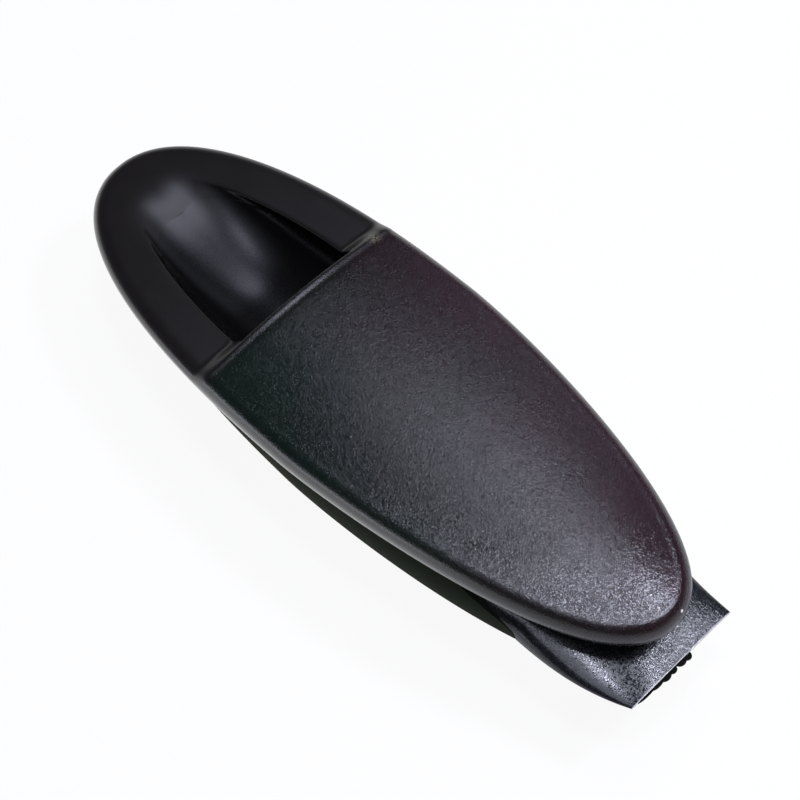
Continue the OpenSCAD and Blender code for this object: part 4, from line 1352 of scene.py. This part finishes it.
def build_finish(name):
    c = sizes("handle_finish")
    if name == "grip_plastic":
        return grained(name, c.cool, c.warm, c.gloss, c.grain_depth, 0.20, True)
    if name == "neck_plastic":
        return grained(name, c.neck, c.neck, c.gloss, c.grain_depth, 0.30, False)
    if name == "base_plastic":
        return plastic(name, (0.014, 0.019, 0.010), 0.55, dust=0.03, Specular_IOR_Level=0.05)
    if name == "zinc":
        return metal(name, tuple(c.zinc), 0.30, 1200.0, 0.45)
    if name == "plated_steel":
        return metal(name, (0.60, 0.60, 0.62), 0.24)
    if name == "yellow_zinc":
        return metal(name, tuple(c.yellow_zinc), 0.28)
    if name == "spring_steel":
        return metal(name, (0.42, 0.43, 0.46), 0.25, 3500.0)
    if name == "acetal":
        return plastic(name, tuple(c.acetal), 0.38, spread=0.1)
    if name == "crank_plastic":
        return plastic(name, (0.045, 0.047, 0.052), 0.46, 0.0007, 0.00002)
    if name == "clip_plastic":
        return plastic(name, (0.07, 0.16, 0.30), 0.4)
    if name == "rubber":
        return plastic(name, (0.020, 0.020, 0.020), 0.75, 0.0005, 0.00003, 0.2)
    return plastic(name, (0.003, 0.003, 0.003), 0.9, 0.0008, 0.0001, 0.02,
                   Specular_IOR_Level=0.15)


FINISHED = {}


def finish(name):
    """The finish of this name, made once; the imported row's own materials have other objects."""
    if name not in FINISHED:
        FINISHED[name] = build_finish(name)
    return FINISHED[name]


CARRIED = {
    "zinc": ["bracket", "grip_carrier"],
    "plated_steel": ["hinge_pin", "crank_pin", "balance_weight"],
    "spring_steel": ["hinge_clips", "crank_clips"],
    "acetal": ["hinge_bushes", "crank_bush", "finger_guide"],
    "crank_plastic": ["bellcrank"],
    "clip_plastic": ["rod_clip"],
    "rubber": ["door_gasket", "closing_buffers", "finger_sleeve"],
}


class HANDLE_OT_finishes(bpy.types.Operator):
    """Gives the carried-over pieces their finishes"""

    bl_idname = "handle.finishes"
    bl_label = "Finishes"

    def execute(self, context):
        for name, nodes in CARRIED.items():
            for node in nodes:
                mesh = frame["nodes"][node].data
                mesh.materials.clear()
                mesh.materials.append(finish(name))
        return {"FINISHED"}


# ---------- camera, image points and studio ----------
# Rough places of two marks; the grip's operator moves them to where their image points show.
MARKS = {"lip_dust": station(0.070, 0.030, 0.0165), "tip_speck": station(0.198, -0.004, 0.014)}


def camera_ray(x, y):
    """Start and direction, in the row's frame, of the ray through an image point."""
    camera = bpy.context.scene.camera
    data = camera.data
    long_side = max(PHOTO_W, PHOTO_H)
    way = Vector((x - PHOTO_W / 2 + data.shift_x * long_side,
                  PHOTO_H / 2 - y + data.shift_y * long_side,
                  -long_side * data.lens / data.sensor_width))
    turn = camera.matrix_world.to_3x3()
    return camera.matrix_world.translation.copy(), (turn @ way).normalized()


def image_place(point):
    """Where a point of the row's frame shows in the image."""
    camera = bpy.context.scene.camera
    data = camera.data
    long_side = max(PHOTO_W, PHOTO_H)
    p = camera.matrix_world.inverted() @ Vector(point)
    reach = long_side * data.lens / data.sensor_width / -p.z
    return (PHOTO_W / 2 + p.x * reach - data.shift_x * long_side,
            PHOTO_H / 2 - p.y * reach + data.shift_y * long_side)


def tree_of(shape):
    return BVHTree.FromPolygons([station(*p) for p in shape.points], shape.faces)


def on_surface(tree, x, y):
    """The place that shows at an image point: where its ray meets the surface, or nearest to it."""
    start, way = camera_ray(x, y)
    hit = tree.ray_cast(start, way)[0]
    if hit is not None:
        return hit
    near = [tree.find_nearest(start + way * d) for d in np.linspace(0.4, 0.8, 80)]
    return min(near, key=lambda found: found[3])[0]


def direction(azimuth, elevation):
    """Unit vector towards an azimuth and an elevation in degrees; azimuth 0 is -Y."""
    azimuth, elevation = math.radians(azimuth), math.radians(elevation)
    return Vector((math.sin(azimuth) * math.cos(elevation),
                   -math.cos(azimuth) * math.cos(elevation), math.sin(elevation)))


class HANDLE_OT_camera(bpy.types.Operator):
    """Sets the camera at the photograph's angle"""

    bl_idname = "handle.camera"
    bl_label = "Camera"

    def execute(self, context):
        scene = context.scene
        view = sizes("handle_camera")
        data = bpy.data.cameras.new("camera")
        camera = bpy.data.objects.new("camera", data)
        scene.collection.objects.link(camera)
        scene.camera = camera
        data.lens = view.lens
        data.sensor_fit = "AUTO"
        data.clip_start = 0.01
        away = direction(view.azimuth, view.elevation)
        camera.location = Vector(view.target) + away * view.distance
        look_at(camera, view.target)
        context.view_layer.update()
        return {"FINISHED"}


def look_at(obj, target):
    obj.rotation_euler = (Vector(target) - obj.location).to_track_quat("-Z", "Y").to_euler()


# Where the lights aim on the paddle, and their slightly cool white.
LIGHT_TARGET = Vector((0.05, 0, 0.01))
COOL_WHITE = (0.80, 0.83, 1.0)


def soft_light(name, watts, wide, high, azimuth, elevation, distance):
    """A soft rectangular light at a direction and a distance from the paddle."""
    data = bpy.data.lights.new(name, "AREA")
    data.energy = watts
    data.color = COOL_WHITE
    data.shape = "RECTANGLE"
    data.size, data.size_y = wide, high
    light = bpy.data.objects.new(name, data)
    bpy.context.scene.collection.objects.link(light)
    light.location = LIGHT_TARGET + distance * direction(azimuth, elevation)
    look_at(light, LIGHT_TARGET)


def floor_finish():
    """White to the camera but for a faint shadow; to mirrors it is white, with painted shade that
    grows towards the tip.
    """
    material = bpy.data.materials.new("floor")
    material.use_nodes = True
    tree = material.node_tree
    tree.nodes.clear()
    paint = add(tree, "ShaderNodeBsdfDiffuse", {"Color": (0.8, 0.8, 0.8, 1)})
    glow = add(tree, "ShaderNodeEmission", {"Color": (1, 1, 1, 1), "Strength": 1.0})
    light_path = add(tree, "ShaderNodeLightPath")
    across = add(tree, "ShaderNodeSeparateXYZ", {0: places_on_object(tree)}).outputs[0]
    # Painted shade: the white that mirrors see fades towards the tip.
    fade = add(tree, "ShaderNodeMapRange", {"Value": across, "From Min": -0.02, "From Max": 0.15,
                                            "To Min": 1.0, "To Max": 0.3}).outputs[0]
    glossy = math_node(tree, "MULTIPLY", light_path.outputs["Is Glossy Ray"], fade)
    seen = math_node(tree, "MAXIMUM", light_path.outputs["Is Camera Ray"], glossy)
    share_white = math_node(tree, "MULTIPLY", seen, 0.92)
    both = add(tree, "ShaderNodeMixShader",
               {0: share_white, 1: paint.outputs[0], 2: glow.outputs[0]})
    tree.links.new(both.outputs[0], tree.nodes.new("ShaderNodeOutputMaterial").inputs[0])
    return material


class HANDLE_OT_studio(bpy.types.Operator):
    """Adds the floor and the lights"""

    bl_idname = "handle.studio"
    bl_label = "Studio"

    def execute(self, context):
        scene = context.scene
        s = sizes("handle_studio")
        world = bpy.data.worlds.new("room")
        scene.world = world
        world.use_nodes = True
        background = world.node_tree.nodes["Background"]
        background.inputs["Color"].default_value = (1, 1, 1, 1)
        tree = world.node_tree
        towards = add(tree, "ShaderNodeTexCoord").outputs["Generated"]
        up = add(tree, "ShaderNodeSeparateXYZ", {0: towards}).outputs[2]
        fade = add(tree, "ShaderNodeMapRange", {"Value": up, "From Min": 0.03, "From Max": 0.22,
                                                "To Min": s.room + s.glow, "To Max": s.room},
                   interpolation_type="SMOOTHSTEP")
        tree.links.new(fade.outputs[0], background.inputs["Strength"])

        mesh = bpy.data.meshes.new("floor")
        work = bmesh.new()
        bmesh.ops.create_grid(work, x_segments=4, y_segments=4, size=3)
        work.to_mesh(mesh)
        work.free()
        floor = bpy.data.objects.new("floor", mesh)
        scene.collection.objects.link(floor)
        floor.location = (0, 0, CAD_BOX[0][2])
        mesh.materials.append(floor_finish())
        soft_light("key", s.key, 0.15, 0.15, 50, 86, 1.1)
        soft_light("crest", s.crest, 0.15, 0.15, 145, 62, 1.1)
        soft_light("back", s.back, 0.28, 0.28, -145, 66, 1.1)
        soft_light("far", s.back * 0.16, 0.4, 0.3, -160, 38, 1.1)
        soft_light("tip", s.tip, 0.2, 0.2, 125, 60, 1.1)
        soft_light("side", s.side, 0.4, 0.4, 22, 67, 1.1)
        soft_light("low", s.low, 0.5, 0.12, -22, 3, 0.7)
        scene.view_settings.view_transform = "Standard"
        return {"FINISHED"}


def shown_points():
    """The finished vertices of every visible piece, in the row's frame."""
    graph = bpy.context.evaluated_depsgraph_get()
    found = []
    for obj in bpy.context.scene.objects:
        if obj.type == "MESH" and not obj.hide_render and obj.name != "floor":
            ready = obj.evaluated_get(graph)
            found += [obj.matrix_world @ v.co for v in ready.data.vertices]
    return found


def write_points():
    """Finds where the finished vertices show in the image, and each feature's point in the row's
    frame.
    """
    g, b = sizes("handle_grip"), sizes("handle_base")
    places = [image_place(p) for p in shown_points()]
    edge = pocket_edge_half()
    crest = g.lip + 0.0006
    features = {
        "lip_near_end": station(crest, -edge - g.roll * 0.5, edge_z(g.lip) + g.paddle_rise * 0.85),
        "lip_far_end": station(crest, edge, grip_top(crest, 0.0)),
        "lip_middle": station(crest, 0, grip_top(g.lip + LIP_ROUND, 1.0)),
        "neck_far_corner": station(b.neck_end, b.neck_end_half, 0),
        "neck_near_corner": station(b.neck_end, -b.neck_end_half, 0),
        "pocket_left_end": station(g.pocket_start, 0, mouth_z(g.pocket_start)),
        "paddle_tip": station(g.long, 0, edge_z(g.long)),
        **MARKS,
    }


# ---------- panel and run ----------
class HANDLE_PT_panel(bpy.types.Panel):
    bl_idname = "HANDLE_PT_panel"
    bl_label = "Door handle"
    bl_space_type = "VIEW_3D"
    bl_region_type = "UI"
    bl_category = "Door handle"

    def draw(self, context):
        for step in STEPS:
            self.layout.operator(step.bl_idname)


STEPS = [HANDLE_OT_camera, HANDLE_OT_grip, HANDLE_OT_pocket, HANDLE_OT_base, HANDLE_OT_neck,
         HANDLE_OT_foam, HANDLE_OT_springs, HANDLE_OT_fasteners, HANDLE_OT_finishes,
         HANDLE_OT_studio]
GROUPS = {"handle_grip": GripSizes, "handle_base": BaseSizes,
          "handle_hardware": HardwareSizes, "handle_finish": FinishColours,
          "handle_camera": CameraSettings, "handle_studio": StudioSettings}


def register():
    for cls in [*GROUPS.values(), *STEPS, HANDLE_PT_panel]:
        bpy.utils.register_class(cls)
    for name, cls in GROUPS.items():
        setattr(bpy.types.Scene, name, PointerProperty(type=cls))


def unregister():
    for name in GROUPS:
        delattr(bpy.types.Scene, name)
    for cls in reversed([*GROUPS.values(), *STEPS, HANDLE_PT_panel]):
        bpy.utils.unregister_class(cls)


def main():
    register()
    for step in STEPS:
        area, name = step.bl_idname.split(".")
        getattr(getattr(bpy.ops, area), name)()
    write_points()


if __name__ == "__main__":
    main()
